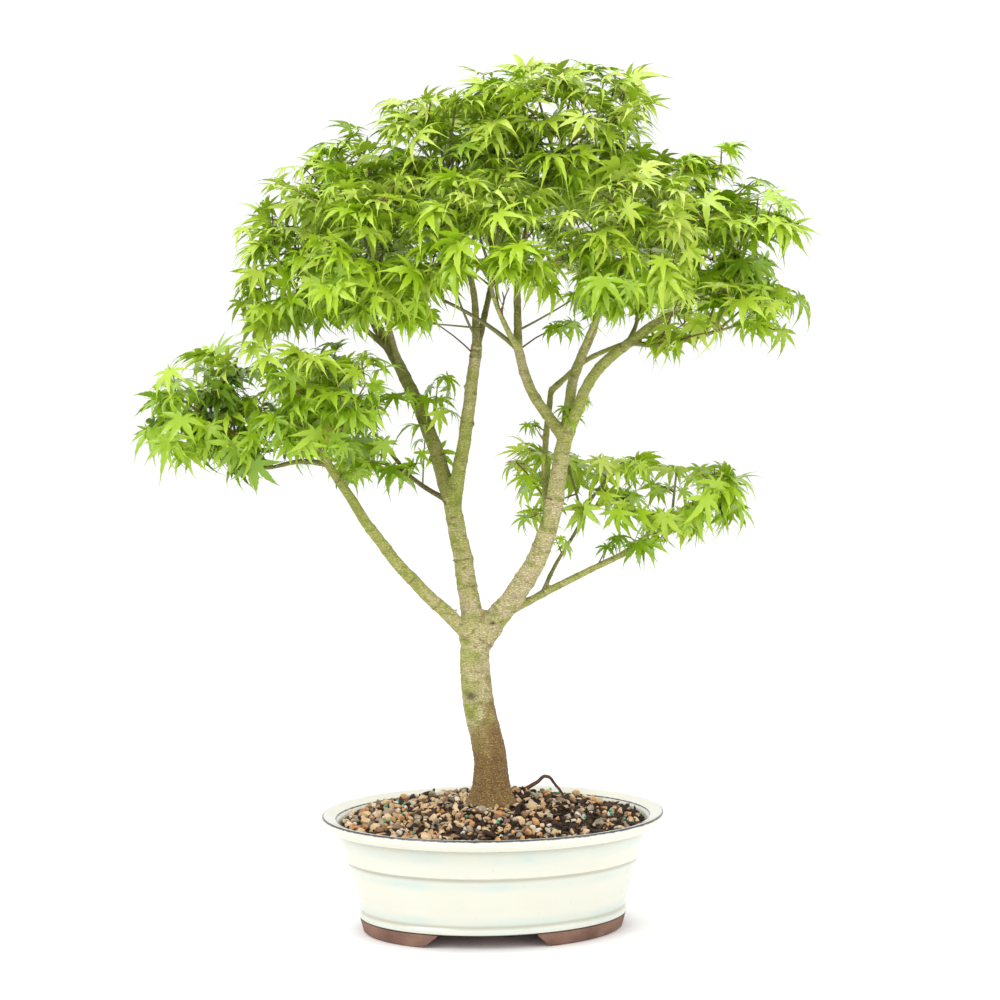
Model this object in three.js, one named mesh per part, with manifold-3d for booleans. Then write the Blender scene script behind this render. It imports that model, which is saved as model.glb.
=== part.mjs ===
// A Japanese maple grown as a bonsai in an oval glazed pot.
//
// Millimetres, +Z up. The pot's long axis lies along X and it stands on the plane z = 0. The tree was
// potted a little turned, so it has a frame of its own: x to the right, y away from the viewer.
// The group is shifted at the end so that its origin is under the middle of its bounding box.

import * as THREE from "three";
import { mergeVertices } from "three/addons/utils/BufferGeometryUtils.js";
import Module from "manifold-3d";

const wasm = await Module();
wasm.setup();

// The pot: an oval of half width r has a half length of r + OVAL_STRETCH
const POT_HEIGHT = 97;
const OVAL_STRETCH = 37;
const POT_SIDES = 38;
const FOOT_HEIGHT = 9;
const FOOT_BOTTOM = -3;
const FOOT_RING = [74.5, 77];
const FOOT_WIDTH = 15;
const ARCH_MIDDLE = -16;
const ARCH_HALF_BOTTOM = 54;
const ARCH_HALF_TOP = 41;
const GAP = 0.3;

// The soil rises to a low mound about the trunk
const SOIL_EDGE = 90;
const SOIL_HALF_WIDTH = 94;
const SOIL_RINGS = [0.84, 0.68, 0.52, 0.36, 0.2];
const SEAT_HEIGHT = 101;
const SEAT_RADIUS = 44;
const MOUND_SPREAD = 56;
const GRAVEL_BUMP = 1.3;

// The trunk: its centre line, its radius under the flare and at the neck, its root flare, and the length
// over which it narrows among the boughs at the top
const TREE_TURN = THREE.MathUtils.degToRad(-9);
const TRUNK_FOOT = [-1, 15];
const TRUNK_LINE = [[-1, 15, 101.3], [-3, 15, 142], [-12, 14, 184], [-16, 12, 226], [-14, 12, 262]];
const TRUNK_RADIUS = [14.6, 12.0];
const FLARE = { grow: 8, fade: 12, lobes: 5, lobeDepth: 0.07 };
const CROWN_OF_TRUNK = 22;
const TRUNK_SIDES = 12;
const TRUNK_STEPS = 11;

// A bough thicker than THICK_LIMB has more sides and shorter steps than a branch
const THICK_LIMB = 4;
const BOUGH = { sides: 8, step: 28 };
const BRANCH = { sides: 5, step: 40 };

// Each limb leaves its parent at a share of the parent's length and ends at tip, in the tree's frame.
// bow moves the middle of the limb sideways. r is the radius at the parent and at the tip.
const limbFrom = (name, from, at, tip, bow, r) => ({ name, from, at, tip, bow, r });
const LIMBS = [
  limbFrom("bough_left_low", "trunk", 0.86, [-137, -38, 397], [-7, -2, -5], [6.4, 3.6]),
  limbFrom("bough_middle", "trunk", 0.88, [-36, 24, 363], [0, 2, 3], [9.2, 7.2]),
  limbFrom("bough_right", "trunk", 0.82, [61, 4, 419], [17, -2, -9], [10.4, 6.4]),
  limbFrom("bough_middle_left", "bough_middle", 1, [-104, 57, 516], [6, 0, 2], [6.8, 4.6]),
  limbFrom("bough_middle_right", "bough_middle", 0.94, [-14, 5, 494], [2, 0, 3], [6.2, 4.9]),
  limbFrom("bough_left_outer", "bough_left_low", 1, [-182, -36, 394], [0, 0, 3], [2.5, 1.8]),
  limbFrom("bough_left_upper", "bough_left_low", 1, [-146, -50, 416], [2, 0, 0], [3.1, 2.3]),
  limbFrom("bough_left_slim", "bough_middle", 0.97, [-82, 53, 388], [0, 0, -3], [2.6, 1.9]),
  limbFrom("bough_left_slim_upper", "bough_left_slim", 0.8, [-114, 62, 430], [2, 0, -3], [1.9, 1.5]),
  limbFrom("bough_right_inward", "bough_right", 0.98, [20, -24, 494], [-9, 0, 3], [4.8, 3.9]),
  limbFrom("bough_right_upright", "bough_right", 1, [84, 26, 505], [-5, 0, 2], [4.9, 4.0]),
  limbFrom("bough_right_outer", "bough_right", 0.97, [130, -30, 510], [-10, 0, 9], [5.1, 4.1]),
  limbFrom("bough_right_slim", "bough_right", 0.6, [49, 37, 454], [-4, 4, 0], [3.1, 2.6]),
  limbFrom("bough_right_slim_arm", "bough_right_slim", 1, [116, 46, 496], [-3, 0, 5], [2.6, 2.1]),
  limbFrom("bough_right_low", "bough_right", 0.16, [110, 35, 313], [0, 0, 1], [3.7, 2.6]),
  limbFrom("bough_right_low_outer", "bough_right_low", 1, [140, 42, 336], [0, 0, -1], [2.4, 2.0]),
  limbFrom("bough_right_low_upper", "bough_right_low", 0.36, [68, 40, 328], [-2, 0, 0], [2.0, 1.6]),
  limbFrom("branch_left_low", "bough_middle_left", 0.8, [-138, 36, 522], [0, 0, 4], [2.6, 1.9]),
  limbFrom("branch_left_front", "bough_middle_left", 0.72, [-98, -35, 540], [0, -4, 6], [2.8, 1.9]),
  limbFrom("branch_left_high", "bough_middle_left", 1, [-120, 26, 598], [-5, 4, 0], [3.3, 2.1]),
  limbFrom("branch_left_back", "bough_middle_left", 0.9, [-122, 98, 552], [0, 3, -3], [2.8, 1.9]),
  limbFrom("branch_top", "bough_right_inward", 1, [32, -6, 610], [-5, -3, 0], [3.5, 2.2]),
  limbFrom("branch_top_left", "bough_middle_right", 1, [-38, -22, 598], [8, 0, 0], [3.3, 2.1]),
  limbFrom("branch_top_back", "bough_middle_right", 0.97, [-2, 72, 580], [5, -6, 4], [3.1, 2.0]),
  limbFrom("branch_centre_front", "bough_right_inward", 0.98, [0, -78, 535], [0, 3, -4], [2.8, 1.9]),
  limbFrom("branch_right_front", "bough_right_upright", 0.6, [98, -58, 538], [-2, -6, 4], [2.8, 1.9]),
  limbFrom("branch_right_high", "bough_right_upright", 1, [118, 6, 578], [-5, 3, 0], [3.2, 2.1]),
  limbFrom("branch_right_outer", "bough_right_outer", 1, [176, -22, 548], [2, 0, -3], [3.2, 2.1]),
  limbFrom("branch_right_low", "bough_right_outer", 0.82, [160, -44, 499], [0, -3, -3], [2.3, 1.7]),
  limbFrom("branch_right_back", "bough_right_slim_arm", 1, [122, 84, 538], [5, 0, -3], [2.1, 1.7]),
];

// Each mass of foliage fills a rounded block about its centre, given by its half sizes, on the limb that
// carries it. The last number is how many leaves it has at most.
const massOn = (limb, name, centre, half, leaves) => ({ limb, name, centre, half, leaves });
const MASSES = [
  massOn("bough_left_outer", "pad_left_outer", [-230, -26, 441], [72, 74, 59], 17),
  massOn("bough_left_upper", "pad_left_front", [-142, -60, 450], [70, 64, 60], 16),
  massOn("bough_left_slim_upper", "pad_left_back", [-134, 50, 438], [70, 64, 66], 16),
  massOn("branch_left_low", "crown_left_low", [-160, 8, 545], [68, 84, 62], 16),
  massOn("branch_left_front", "crown_left_front", [-92, -82, 568], [78, 66, 70], 17),
  massOn("branch_left_high", "crown_left_high", [-112, 2, 616], [80, 80, 54], 17),
  massOn("branch_left_back", "crown_left_back", [-100, 92, 578], [82, 66, 70], 15),
  massOn("branch_top", "crown_top", [54, -8, 664], [98, 84, 70], 21),
  massOn("branch_top_left", "crown_top_left", [-38, -20, 650], [76, 82, 60], 16),
  massOn("branch_top_back", "crown_top_back", [0, 84, 636], [90, 72, 72], 16),
  massOn("branch_centre_front", "crown_centre_front", [-2, -94, 574], [76, 62, 70], 17),
  massOn("branch_right_front", "crown_right_front", [106, -84, 574], [80, 66, 70], 17),
  massOn("branch_right_high", "crown_right_high", [150, 2, 612], [80, 80, 52], 15),
  massOn("branch_right_outer", "crown_right_outer", [199, -8, 572], [70, 80, 62], 15),
  massOn("branch_right_low", "crown_right_low", [186, -32, 516], [68, 70, 42], 13),
  massOn("branch_right_back", "crown_right_back", [116, 92, 574], [86, 66, 72], 15),
  massOn("bough_right_low_outer", "pad_right_outer", [168, 40, 358], [64, 60, 44], 13),
  massOn("bough_right_low_upper", "pad_right_inner", [84, 50, 370], [78, 60, 46], 14),
];
const CROWN_HEART = [0, 10, 440];
const BLOCK_POWER = 2.7;
const BLOCK_SLACK = 1.08;

// A leaf: half of its outline as degrees from the middle lobe, share of the leaf's length, and droop
const LEAF_LENGTH = 46;
const LEAF_HALF = [
  [0, 1, 0.3], [24, 0.4, 0], [50, 0.86, 0.3], [78, 0.34, 0], [104, 0.52, 0.3], [150, 0.09, 0],
];
const LEAF_STALK = 0.25;
const LEAF_SUNK = 0.3;
const LEAF_HALF_THICK = 0.9;
const LEAF_OVER = 24;
const LEAF_TRIES = 18;
const LEAVES_ON_A_TWIG = [[0.96, 25], [0.78, 60], [0.62, -65], [0.46, 75], [0.3, -75]];
const JOINT_REACH = 4;
const GOLDEN_ANGLE = Math.PI * (3 - Math.sqrt(5));

// How a leaf hangs, in degrees: it slopes less the higher it grows, and each new try may turn it further
const LEAF_SLOPE = { most: 52, lessAtTop: 40, play: 16, playPerTry: 5 };
const LEAF_TURN = { play: 30, playPerTry: 15 };
const LEAF_ROLL = { play: 17, playPerTry: 6 };

// The stem of a mass and the twigs that fan out from it
const STEM_BEND = 0.35;
const STEM_END_RADIUS = 2.3;
const STEM_WITH_TWIGS = 0.7;
const HUB_DROP = -0.2;
const LEAVES_A_TWIG = 2.7;
const TWIG_RADIUS = [1.5, 1.15];
const TWIG_FAN = 1.45;
const TWIG_RISE = 0.3;
const TWIG_ROOM = [0.72, 0.72, 0.25];
const TWIG_LOWEST = 0.85;
const LONG_TWIG = 48;
const LONG_TWIG_BOW = 0.12;

// Draws from 0 to 1 by a plain linear rule, so that the tree comes out the same each time
function seeded(seed) {
  let state = (seed * 7919 + 12345) % 4294967296;
  return () => {
    state = (state * 1664525 + 1013904223) % 4294967296;
    return state / 4294967296;
  };
}

function vector(point) {
  return new THREE.Vector3(...point);
}

// Closed rings of points, skinned one to the next. The ends are capped unless the rings run round.
function skin(rings, round = false) {
  const count = rings[0].length;
  const positions = rings.flat().flatMap((p) => [p.x, p.y, p.z]);
  const faces = [];
  const capEnd = (ring, first, flip) => {
    const middle = ring.reduce((sum, p) => sum.add(p), new THREE.Vector3()).divideScalar(count);
    const centre = count > 9 ? positions.push(middle.x, middle.y, middle.z) / 3 - 1 : first;
    for (let i = 0; i < count; i++) {
      const pair = [first + i, first + ((i + 1) % count)];
      if (!pair.includes(centre)) {
        faces.push(centre, ...(flip ? pair.reverse() : pair));
      }
    }
  };
  const strips = round ? rings.length : rings.length - 1;
  for (let k = 0; k < strips; k++) {
    const low = k * count;
    const high = ((k + 1) % rings.length) * count;
    for (let i = 0; i < count; i++) {
      const j = (i + 1) % count;
      faces.push(low + i, low + j, high + j, low + i, high + j, high + i);
    }
  }
  if (!round) {
    capEnd(rings[0], 0, true);
    capEnd(rings.at(-1), (rings.length - 1) * count, false);
  }
  const geometry = new THREE.BufferGeometry();
  geometry.setAttribute("position", new THREE.Float32BufferAttribute(positions, 3));
  geometry.setIndex(faces);
  return geometry;
}

function solidOf(geometry) {
  const bare = geometry.clone();
  bare.deleteAttribute("normal");
  bare.deleteAttribute("uv");
  const merged = mergeVertices(bare, 1e-4);
  const triVerts = new Uint32Array(merged.index.array);
  return new wasm.Manifold(
    new wasm.Mesh({ numProp: 3, vertProperties: merged.attributes.position.array, triVerts }),
  );
}

function geometryOf(solid) {
  const { numProp, vertProperties, triVerts } = solid.getMesh();
  const positions = [];
  for (let i = 0; i < vertProperties.length; i += numProp) {
    positions.push(vertProperties[i], vertProperties[i + 1], vertProperties[i + 2]);
  }
  const geometry = new THREE.BufferGeometry();
  geometry.setAttribute("position", new THREE.Float32BufferAttribute(positions, 3));
  geometry.setIndex([...triVerts]);
  return geometry;
}

// The biggest piece of a solid that a cut or a join has left in several
function largest(solid) {
  return solid.decompose().sort((a, b) => b.volume() - a.volume())[0];
}

const bonsai = new THREE.Group();
const tree = new THREE.Group();
tree.rotation.z = TREE_TURN;
bonsai.add(tree);

function addMesh(group, name, geometry, colour, roughness) {
  const material = new THREE.MeshStandardMaterial({ color: colour, roughness, metalness: 0 });
  const flat = geometry.toNonIndexed();
  flat.computeVertexNormals();
  const mesh = new THREE.Mesh(flat, material);
  mesh.name = name;
  group.add(mesh);
}

// The pot

function oval(r, z) {
  const ring = [];
  for (let i = 0; i < POT_SIDES; i++) {
    const a = (i / POT_SIDES) * Math.PI * 2;
    ring.push(new THREE.Vector3((r + OVAL_STRETCH) * Math.cos(a), r * Math.sin(a), z));
  }
  return ring;
}

// Half width and height of the bowl, from the outside of its floor over the rim to the inside
const BOWL_WAIST = [82.5, 58];
const BOWL_FLOOR = [70, 18];
const BOWL_PROFILE = [
  [75, FOOT_HEIGHT + GAP], [78, 12], [77, 16], [88.5, 58], [91, 61], [98, 84], [107, 87], [110, 92],
  [109.3, 96.2], [107.5, POT_HEIGHT], [97.5, 93.6], [95.5, 91.5], BOWL_WAIST, BOWL_FLOOR,
];

function makeBowl() {
  return skin(BOWL_PROFILE.map(([r, z]) => oval(r, z)));
}

// The unglazed foot ring, cut through by an arch at the front and the back into two feet
function makeFeet() {
  const [low, high] = FOOT_RING;
  const inner = high - FOOT_WIDTH;
  const outside = [oval(low, FOOT_BOTTOM), oval(high, FOOT_HEIGHT)];
  const ring = skin([...outside, oval(inner, FOOT_HEIGHT), oval(inner, FOOT_BOTTOM)], true);
  const arch = new THREE.Shape();
  const below = FOOT_BOTTOM - 1;
  arch.moveTo(-ARCH_HALF_BOTTOM, below);
  arch.lineTo(ARCH_HALF_BOTTOM, below);
  arch.quadraticCurveTo(ARCH_HALF_TOP + 2, below + 2, ARCH_HALF_TOP, FOOT_HEIGHT + 1);
  arch.lineTo(-ARCH_HALF_TOP, FOOT_HEIGHT + 1);
  arch.quadraticCurveTo(-ARCH_HALF_TOP - 2, below + 2, -ARCH_HALF_BOTTOM, below);
  const depth = 4 * FOOT_RING[1];
  const tunnel = new THREE.ExtrudeGeometry(arch, { depth, bevelEnabled: false, curveSegments: 4 });
  tunnel.translate(ARCH_MIDDLE, 0, -depth / 2);
  tunnel.rotateX(Math.PI / 2);
  return solidOf(ring).subtract(solidOf(tunnel)).decompose();
}

addMesh(bonsai, "pot_bowl", makeBowl(), "#eceadb", 0.25);
for (const foot of makeFeet()) {
  const box = foot.boundingBox();
  const side = box.min[0] + box.max[0] < 0 ? "left" : "right";
  addMesh(bonsai, "pot_foot_" + side, geometryOf(foot), "#6b4a40", 0.85);
}

// The soil, with its gravel as low bumps and a flat seat under the trunk

function soilHeight(x, y, draw) {
  const foot = new THREE.Vector2(...TRUNK_FOOT).rotateAround(new THREE.Vector2(), TREE_TURN);
  const away = Math.hypot(x - foot.x, y - foot.y);
  if (away < SEAT_RADIUS) {
    return SEAT_HEIGHT;
  }
  const rise = (SEAT_HEIGHT - SOIL_EDGE) * Math.exp(-(((away - SEAT_RADIUS) / MOUND_SPREAD) ** 2));
  return SOIL_EDGE + rise + GRAVEL_BUMP * (2 * draw() - 1);
}

function makeSoil() {
  const draw = seeded(3);
  const rings = [
    oval(BOWL_FLOOR[0] - GAP, BOWL_FLOOR[1] + GAP),
    oval(BOWL_WAIST[0] - GAP, BOWL_WAIST[1]),
    oval(SOIL_HALF_WIDTH, SOIL_EDGE),
  ];
  for (const share of SOIL_RINGS) {
    const ring = oval(SOIL_HALF_WIDTH * share, 0).map((p) => {
      const x = p.x - OVAL_STRETCH * (1 - share) * (p.x / Math.hypot(p.x, p.y));
      return new THREE.Vector3(x, p.y, soilHeight(x, p.y, draw));
    });
    rings.push(ring);
  }
  return skin(rings);
}

addMesh(bonsai, "soil", makeSoil(), "#6e5a4a", 0.95);

// The trunk and the limbs

const lines = {};
const blocked = [];

// Rings of a tube along a curve, square to it or level. A three-sided twig has its flat side up.
function tube(curve, radiusAt, sides, steps, grow = 0, level = false) {
  const rings = [];
  const rise = curve.getPoint(1).sub(curve.getPoint(0)).normalize();
  const upright = Math.abs(rise.z) > 0.85 ? new THREE.Vector3(0, 1, 0) : new THREE.Vector3(0, 0, 1);
  for (let k = 0; k <= steps; k++) {
    const share = k / steps;
    const centre = curve.getPoint(share);
    const along = level ? new THREE.Vector3(0, 0, 1) : curve.getTangent(share);
    const side = new THREE.Vector3().crossVectors(upright, along).normalize();
    const up = new THREE.Vector3().crossVectors(along, side);
    const ring = [];
    for (let i = 0; i < sides; i++) {
      const a = (i / sides) * Math.PI * 2 - Math.PI / 2;
      const r = radiusAt(share, a) + grow;
      ring.push(centre.clone().addScaledVector(side, r * Math.cos(a)).addScaledVector(up, r * Math.sin(a)));
    }
    rings.push(ring);
  }
  return rings;
}

function trunkRadius(share, angle) {
  const length = TRUNK_LINE.at(-1)[2] - TRUNK_LINE[0][2];
  const height = share * length;
  const plain = THREE.MathUtils.lerp(...TRUNK_RADIUS, share);
  const flare = FLARE.grow * Math.exp(-height / FLARE.fade);
  const lobe = 1 + FLARE.lobeDepth * Math.cos(FLARE.lobes * angle) * Math.exp(-height / (2 * FLARE.fade));
  const rounded = Math.min(1, (length + 12 - height) / (CROWN_OF_TRUNK + 12));
  return (plain + flare) * lobe * rounded;
}

function makeTrunk() {
  const curve = new THREE.CatmullRomCurve3(TRUNK_LINE.map(vector));
  lines.trunk = curve;
  blocked.push(solidOf(skin(tube(curve, trunkRadius, TRUNK_SIDES, TRUNK_STEPS, GAP, true))));
  return solidOf(skin(tube(curve, trunkRadius, TRUNK_SIDES, TRUNK_STEPS, 0, true)));
}

// A limb is cut clear of every limb before it, and its own clear space, a little longer, joins the list
function makeLimb({ name, from, at, tip, bow, r }) {
  const start = lines[from].getPoint(at);
  const end = vector(tip);
  const middle = start.clone().lerp(end, 0.5).add(vector(bow));
  const curve = new THREE.CatmullRomCurve3([start, middle, end]);
  lines[name] = curve;
  const { sides, step } = r[0] > THICK_LIMB ? BOUGH : BRANCH;
  const steps = Math.max(2, Math.round(curve.getLength() / step));
  const radiusAt = (share) => THREE.MathUtils.lerp(r[0], r[1], share);
  const whole = solidOf(skin(tube(curve, radiusAt, sides, steps)));
  const clear = tube(curve, radiusAt, sides, steps, GAP);
  const forward = curve.getTangent(1).multiplyScalar(GAP);
  clear.at(-1).forEach((p) => p.add(forward));
  const limb = largest(blocked.reduce((left, solid) => left.subtract(solid), whole));
  blocked.push(solidOf(skin(clear)));
  return limb;
}

addMesh(tree, "trunk", geometryOf(makeTrunk()), "#a09270", 0.8);
for (const limb of LIMBS) {
  addMesh(tree, limb.name, geometryOf(makeLimb(limb)), limb.r[0] > 2.7 ? "#a3a06a" : "#7d6a4a", 0.75);
}
const limbSpace = wasm.Manifold.union(blocked);

// The foliage

// The planes that part a mass from each other mass. Its twigs end short of them, and its leaves may
// reach a little over where they find room.
function wallsOf(mass) {
  return MASSES.filter((other) => other !== mass).map((other) => {
    const away = vector(other.centre).sub(vector(mass.centre));
    const distance = away.length();
    const normal = away.normalize();
    const mine = vector(mass.half).multiply(normal).length();
    const theirs = vector(other.half).multiply(normal).length();
    return { normal, limit: (distance * mine) / (mine + theirs) - GAP };
  });
}

function staysInside(points, mass, walls, over) {
  const centre = vector(mass.centre);
  return points.every((p) => {
    const away = p.clone().sub(centre);
    const shares = away.clone().divide(vector(mass.half)).toArray();
    const share = shares.reduce((sum, part) => sum + Math.abs(part) ** BLOCK_POWER, 0);
    return share < BLOCK_SLACK && walls.every(({ normal, limit }) => away.dot(normal) < limit + over);
  });
}

// The rim of a leaf from its middle lobe round to the foot of its stalk and back, and its middle.
// ahead is where the middle lobe points, up is square to the blade.
function leafPoints(root, ahead, up) {
  const side = new THREE.Vector3().crossVectors(up, ahead);
  const middle = root.clone().addScaledVector(ahead, LEAF_STALK * LEAF_LENGTH);
  const place = (hand) => ([degrees, share, droop]) => {
    const a = THREE.MathUtils.degToRad(degrees);
    const reach = share * LEAF_LENGTH;
    return middle
      .clone()
      .addScaledVector(ahead, Math.cos(a) * reach)
      .addScaledVector(side, hand * Math.sin(a) * reach)
      .addScaledVector(up, -droop * reach);
  };
  const sunk = root.clone().addScaledVector(ahead, -LEAF_SUNK);
  const rim = [...LEAF_HALF.map(place(1)), sunk, ...LEAF_HALF.slice(1).reverse().map(place(-1))];
  return { rim, middle, up };
}

// The leaf as a thin solid. With grow it is a thicker one, to test the room that the leaf needs.
function leafSolid({ rim, middle, up }, grow = 0) {
  const layers = grow > 0 ? [-grow, grow] : [0];
  const points = layers.flatMap((lift) =>
    rim.map((p) => {
      const away = p.clone().sub(middle).setLength(grow);
      return p.clone().add(away).addScaledVector(up, lift);
    }),
  );
  const count = rim.length;
  const last = points.length - count;
  const top = points.push(middle.clone().addScaledVector(up, LEAF_HALF_THICK + grow)) - 1;
  const under = points.push(middle.clone().addScaledVector(up, -LEAF_HALF_THICK - grow)) - 1;
  const faces = [];
  for (let i = 0; i < count; i++) {
    const next = (i + 1) % count;
    faces.push(top, last + i, last + next, under, next, i);
    if (grow > 0) {
      faces.push(i, next, last + next, i, last + next, last + i);
    }
  }
  const geometry = new THREE.BufferGeometry();
  const positions = points.flatMap((p) => [p.x, p.y, p.z]);
  geometry.setAttribute("position", new THREE.Float32BufferAttribute(positions, 3));
  geometry.setIndex(faces);
  return solidOf(geometry);
}

// Twigs fan out about the way that leads out of the crown, each to a leaf's reach inside the mass's skin
function twigEnd(mass, walls, index, count, draw) {
  const out = vector(mass.centre).sub(vector(CROWN_HEART)).normalize();
  out.z = Math.max(out.z, TWIG_RISE);
  out.normalize();
  const across = new THREE.Vector3(-out.y, out.x, 0).normalize();
  const over = new THREE.Vector3().crossVectors(out, across);
  const lean = 1 - TWIG_FAN * ((index + 0.4) / count);
  const turn = index * GOLDEN_ANGLE + 0.5 * draw();
  const spread = Math.sqrt(Math.max(0, 1 - lean * lean));
  const outward = out.clone().multiplyScalar(lean);
  outward.addScaledVector(across, spread * Math.cos(turn)).addScaledVector(over, spread * Math.sin(turn));
  const skinPoint = outward.clone().multiply(vector(mass.half));
  const open = walls.reduce((least, { normal, limit }) => {
    const toward = skinPoint.dot(normal);
    return toward > limit ? Math.min(least, limit / toward) : least;
  }, 1);
  const room = vector(TWIG_ROOM).multiplyScalar(LEAF_LENGTH);
  skinPoint.multiplyScalar(open).sub(outward.clone().multiply(room));
  skinPoint.z = Math.max(skinPoint.z, TWIG_LOWEST * LEAF_LENGTH - mass.half[2]);
  return { outward, end: vector(mass.centre).add(skinPoint) };
}

// The stem runs on from the limb's tip to a point under the middle of the mass
function startMass(mass, index) {
  const line = lines[mass.limb];
  const tip = line.getPoint(1);
  const hub = vector(mass.centre).add(new THREE.Vector3(0, 0, HUB_DROP * mass.half[2]));
  const bend = tip.clone().addScaledVector(line.getTangent(1), STEM_BEND * tip.distanceTo(hub));
  const stem = new THREE.QuadraticBezierCurve3(tip, bend, hub);
  const thick = LIMBS.find(({ name }) => name === mass.limb).r[1];
  const radiusAt = (share) => THREE.MathUtils.lerp(thick, STEM_END_RADIUS, share);
  const grown = solidOf(skin(tube(stem, radiusAt, 5, 2))).subtract(limbSpace);
  return { mass, stem, grown, walls: wallsOf(mass), draw: seeded(index + 1), twigs: [], placed: 0 };
}

// Whether a solid keeps clear of the limbs and of every mass but its own
function isClear(solid, own) {
  const { min, max } = solid.boundingBox();
  const room = new THREE.Box3(vector(min), vector(max));
  const meets = (other) => {
    const box = other.boundingBox();
    const near = new THREE.Box3(vector(box.min), vector(box.max)).intersectsBox(room);
    return near && !solid.intersect(other).isEmpty();
  };
  return !meets(limbSpace) && growing.every((other) => other === own || !meets(other.grown));
}

function addTwigs(plant) {
  const { mass, stem, walls, draw } = plant;
  const count = Math.round(mass.leaves / LEAVES_A_TWIG);
  for (let i = 0; i < count; i++) {
    const { outward, end } = twigEnd(mass, walls, i, count, draw);
    const start = stem.getPoint(1 - STEM_WITH_TWIGS * (i / count));
    const long = start.distanceTo(end) > LONG_TWIG;
    const bow = start.clone().lerp(end, 0.5);
    bow.z += long ? LONG_TWIG_BOW * start.distanceTo(end) : 0;
    const twig = new THREE.QuadraticBezierCurve3(start, bow, end);
    const radiusAt = (share) => THREE.MathUtils.lerp(...TWIG_RADIUS, share);
    const steps = long ? 2 : 1;
    if (isClear(solidOf(skin(tube(twig, radiusAt, 3, steps, GAP))), plant)) {
      plant.grown = plant.grown.add(solidOf(skin(tube(twig, radiusAt, 3, steps))));
      plant.twigs.push({ twig, outward });
    }
  }
}

function addLeaf(plant, root, outward, swing) {
  const { mass, walls, draw } = plant;
  for (let attempt = 0; attempt < LEAF_TRIES; attempt++) {
    const leaf = hangLeaf(root, outward, swing, attempt, draw);
    if (staysInside(leaf.rim, mass, walls, LEAF_OVER) && isClear(leafSolid(leaf, GAP), plant)) {
      const solid = leafSolid(leaf);
      if (meetsOnlyAt(root, solid.intersect(plant.grown))) {
        plant.grown = plant.grown.add(solid);
        plant.placed += 1;
        return;
      }
    }
  }
}

// A leaf faces up and out from its twig
function hangLeaf(root, outward, swing, attempt, draw) {
  const vary = ({ play, playPerTry }) => (play + playPerTry * attempt) * (draw() - 0.5);
  const level = Math.atan2(outward.y, outward.x) + THREE.MathUtils.degToRad(swing + vary(LEAF_TURN));
  const steep = LEAF_SLOPE.most - LEAF_SLOPE.lessAtTop * Math.max(0, outward.z);
  const slope = THREE.MathUtils.degToRad(steep + vary(LEAF_SLOPE));
  const out = new THREE.Vector3(Math.cos(level), Math.sin(level), 0);
  const down = new THREE.Vector3(0, 0, -1);
  const ahead = out.clone().multiplyScalar(Math.cos(slope)).addScaledVector(down, Math.sin(slope));
  const up = out.clone().multiplyScalar(Math.sin(slope)).addScaledVector(down, -Math.cos(slope));
  up.applyAxisAngle(ahead, THREE.MathUtils.degToRad(vary(LEAF_ROLL)));
  return leafPoints(root, ahead, up);
}

function meetsOnlyAt(root, shared) {
  if (shared.isEmpty()) {
    return false;
  }
  const { min, max } = shared.boundingBox();
  const near = new THREE.Box3(vector(min), vector(max)).getBoundingSphere(new THREE.Sphere());
  return near.center.distanceTo(root) + near.radius < JOINT_REACH;
}

const growing = MASSES.map(startMass);
growing.forEach(addTwigs);

for (const [share, swing] of LEAVES_ON_A_TWIG) {
  for (const plant of growing) {
    for (const { twig, outward } of plant.twigs) {
      if (plant.placed < plant.mass.leaves) {
        addLeaf(plant, twig.getPoint(share), outward, swing);
      }
    }
  }
}

const GREENS = ["#7fae2c", "#6da126", "#8cb838", "#75a82f"];
growing.forEach(({ mass, grown }, i) => {
  addMesh(tree, mass.name, geometryOf(largest(grown)), GREENS[i % GREENS.length], 0.5);
});

// The origin goes under the middle of the bounding box, at the height that the feet stand on
const reach = new THREE.Box3().setFromObject(bonsai, true);
const middle = reach.getCenter(new THREE.Vector3());
bonsai.position.set(-middle.x, -middle.y, -reach.min.z);

export default bonsai;
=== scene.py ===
# A Japanese maple grown as a bonsai, in an oval glazed pot with a gravel dressing.

import math
import random

import bpy
import numpy as np
from mathutils import Matrix, Vector, noise
from mathutils.kdtree import KDTree


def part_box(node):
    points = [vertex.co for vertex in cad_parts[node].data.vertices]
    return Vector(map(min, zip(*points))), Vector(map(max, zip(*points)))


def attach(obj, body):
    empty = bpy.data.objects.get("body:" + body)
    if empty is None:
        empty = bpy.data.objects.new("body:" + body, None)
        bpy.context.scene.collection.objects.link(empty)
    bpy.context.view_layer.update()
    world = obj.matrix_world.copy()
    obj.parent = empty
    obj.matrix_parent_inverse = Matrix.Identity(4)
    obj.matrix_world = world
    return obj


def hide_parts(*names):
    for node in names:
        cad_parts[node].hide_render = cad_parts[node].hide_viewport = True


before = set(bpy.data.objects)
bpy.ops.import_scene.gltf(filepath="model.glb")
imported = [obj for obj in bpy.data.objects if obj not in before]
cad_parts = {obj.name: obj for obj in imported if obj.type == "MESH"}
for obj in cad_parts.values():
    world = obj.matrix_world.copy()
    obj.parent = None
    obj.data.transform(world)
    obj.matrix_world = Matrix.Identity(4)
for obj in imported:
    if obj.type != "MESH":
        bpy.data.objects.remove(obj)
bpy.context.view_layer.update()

# Where things stand. Sizes here are millimetres. The pot's own frame has its middle at the origin, and the
# underside of its bowl at a height of 9.3. The tree was potted a little turned, so it has a frame of its own.
MM = 0.001
TREE_TURN = math.radians(-9)
BOWL_UNDERSIDE = 9.3

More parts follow.
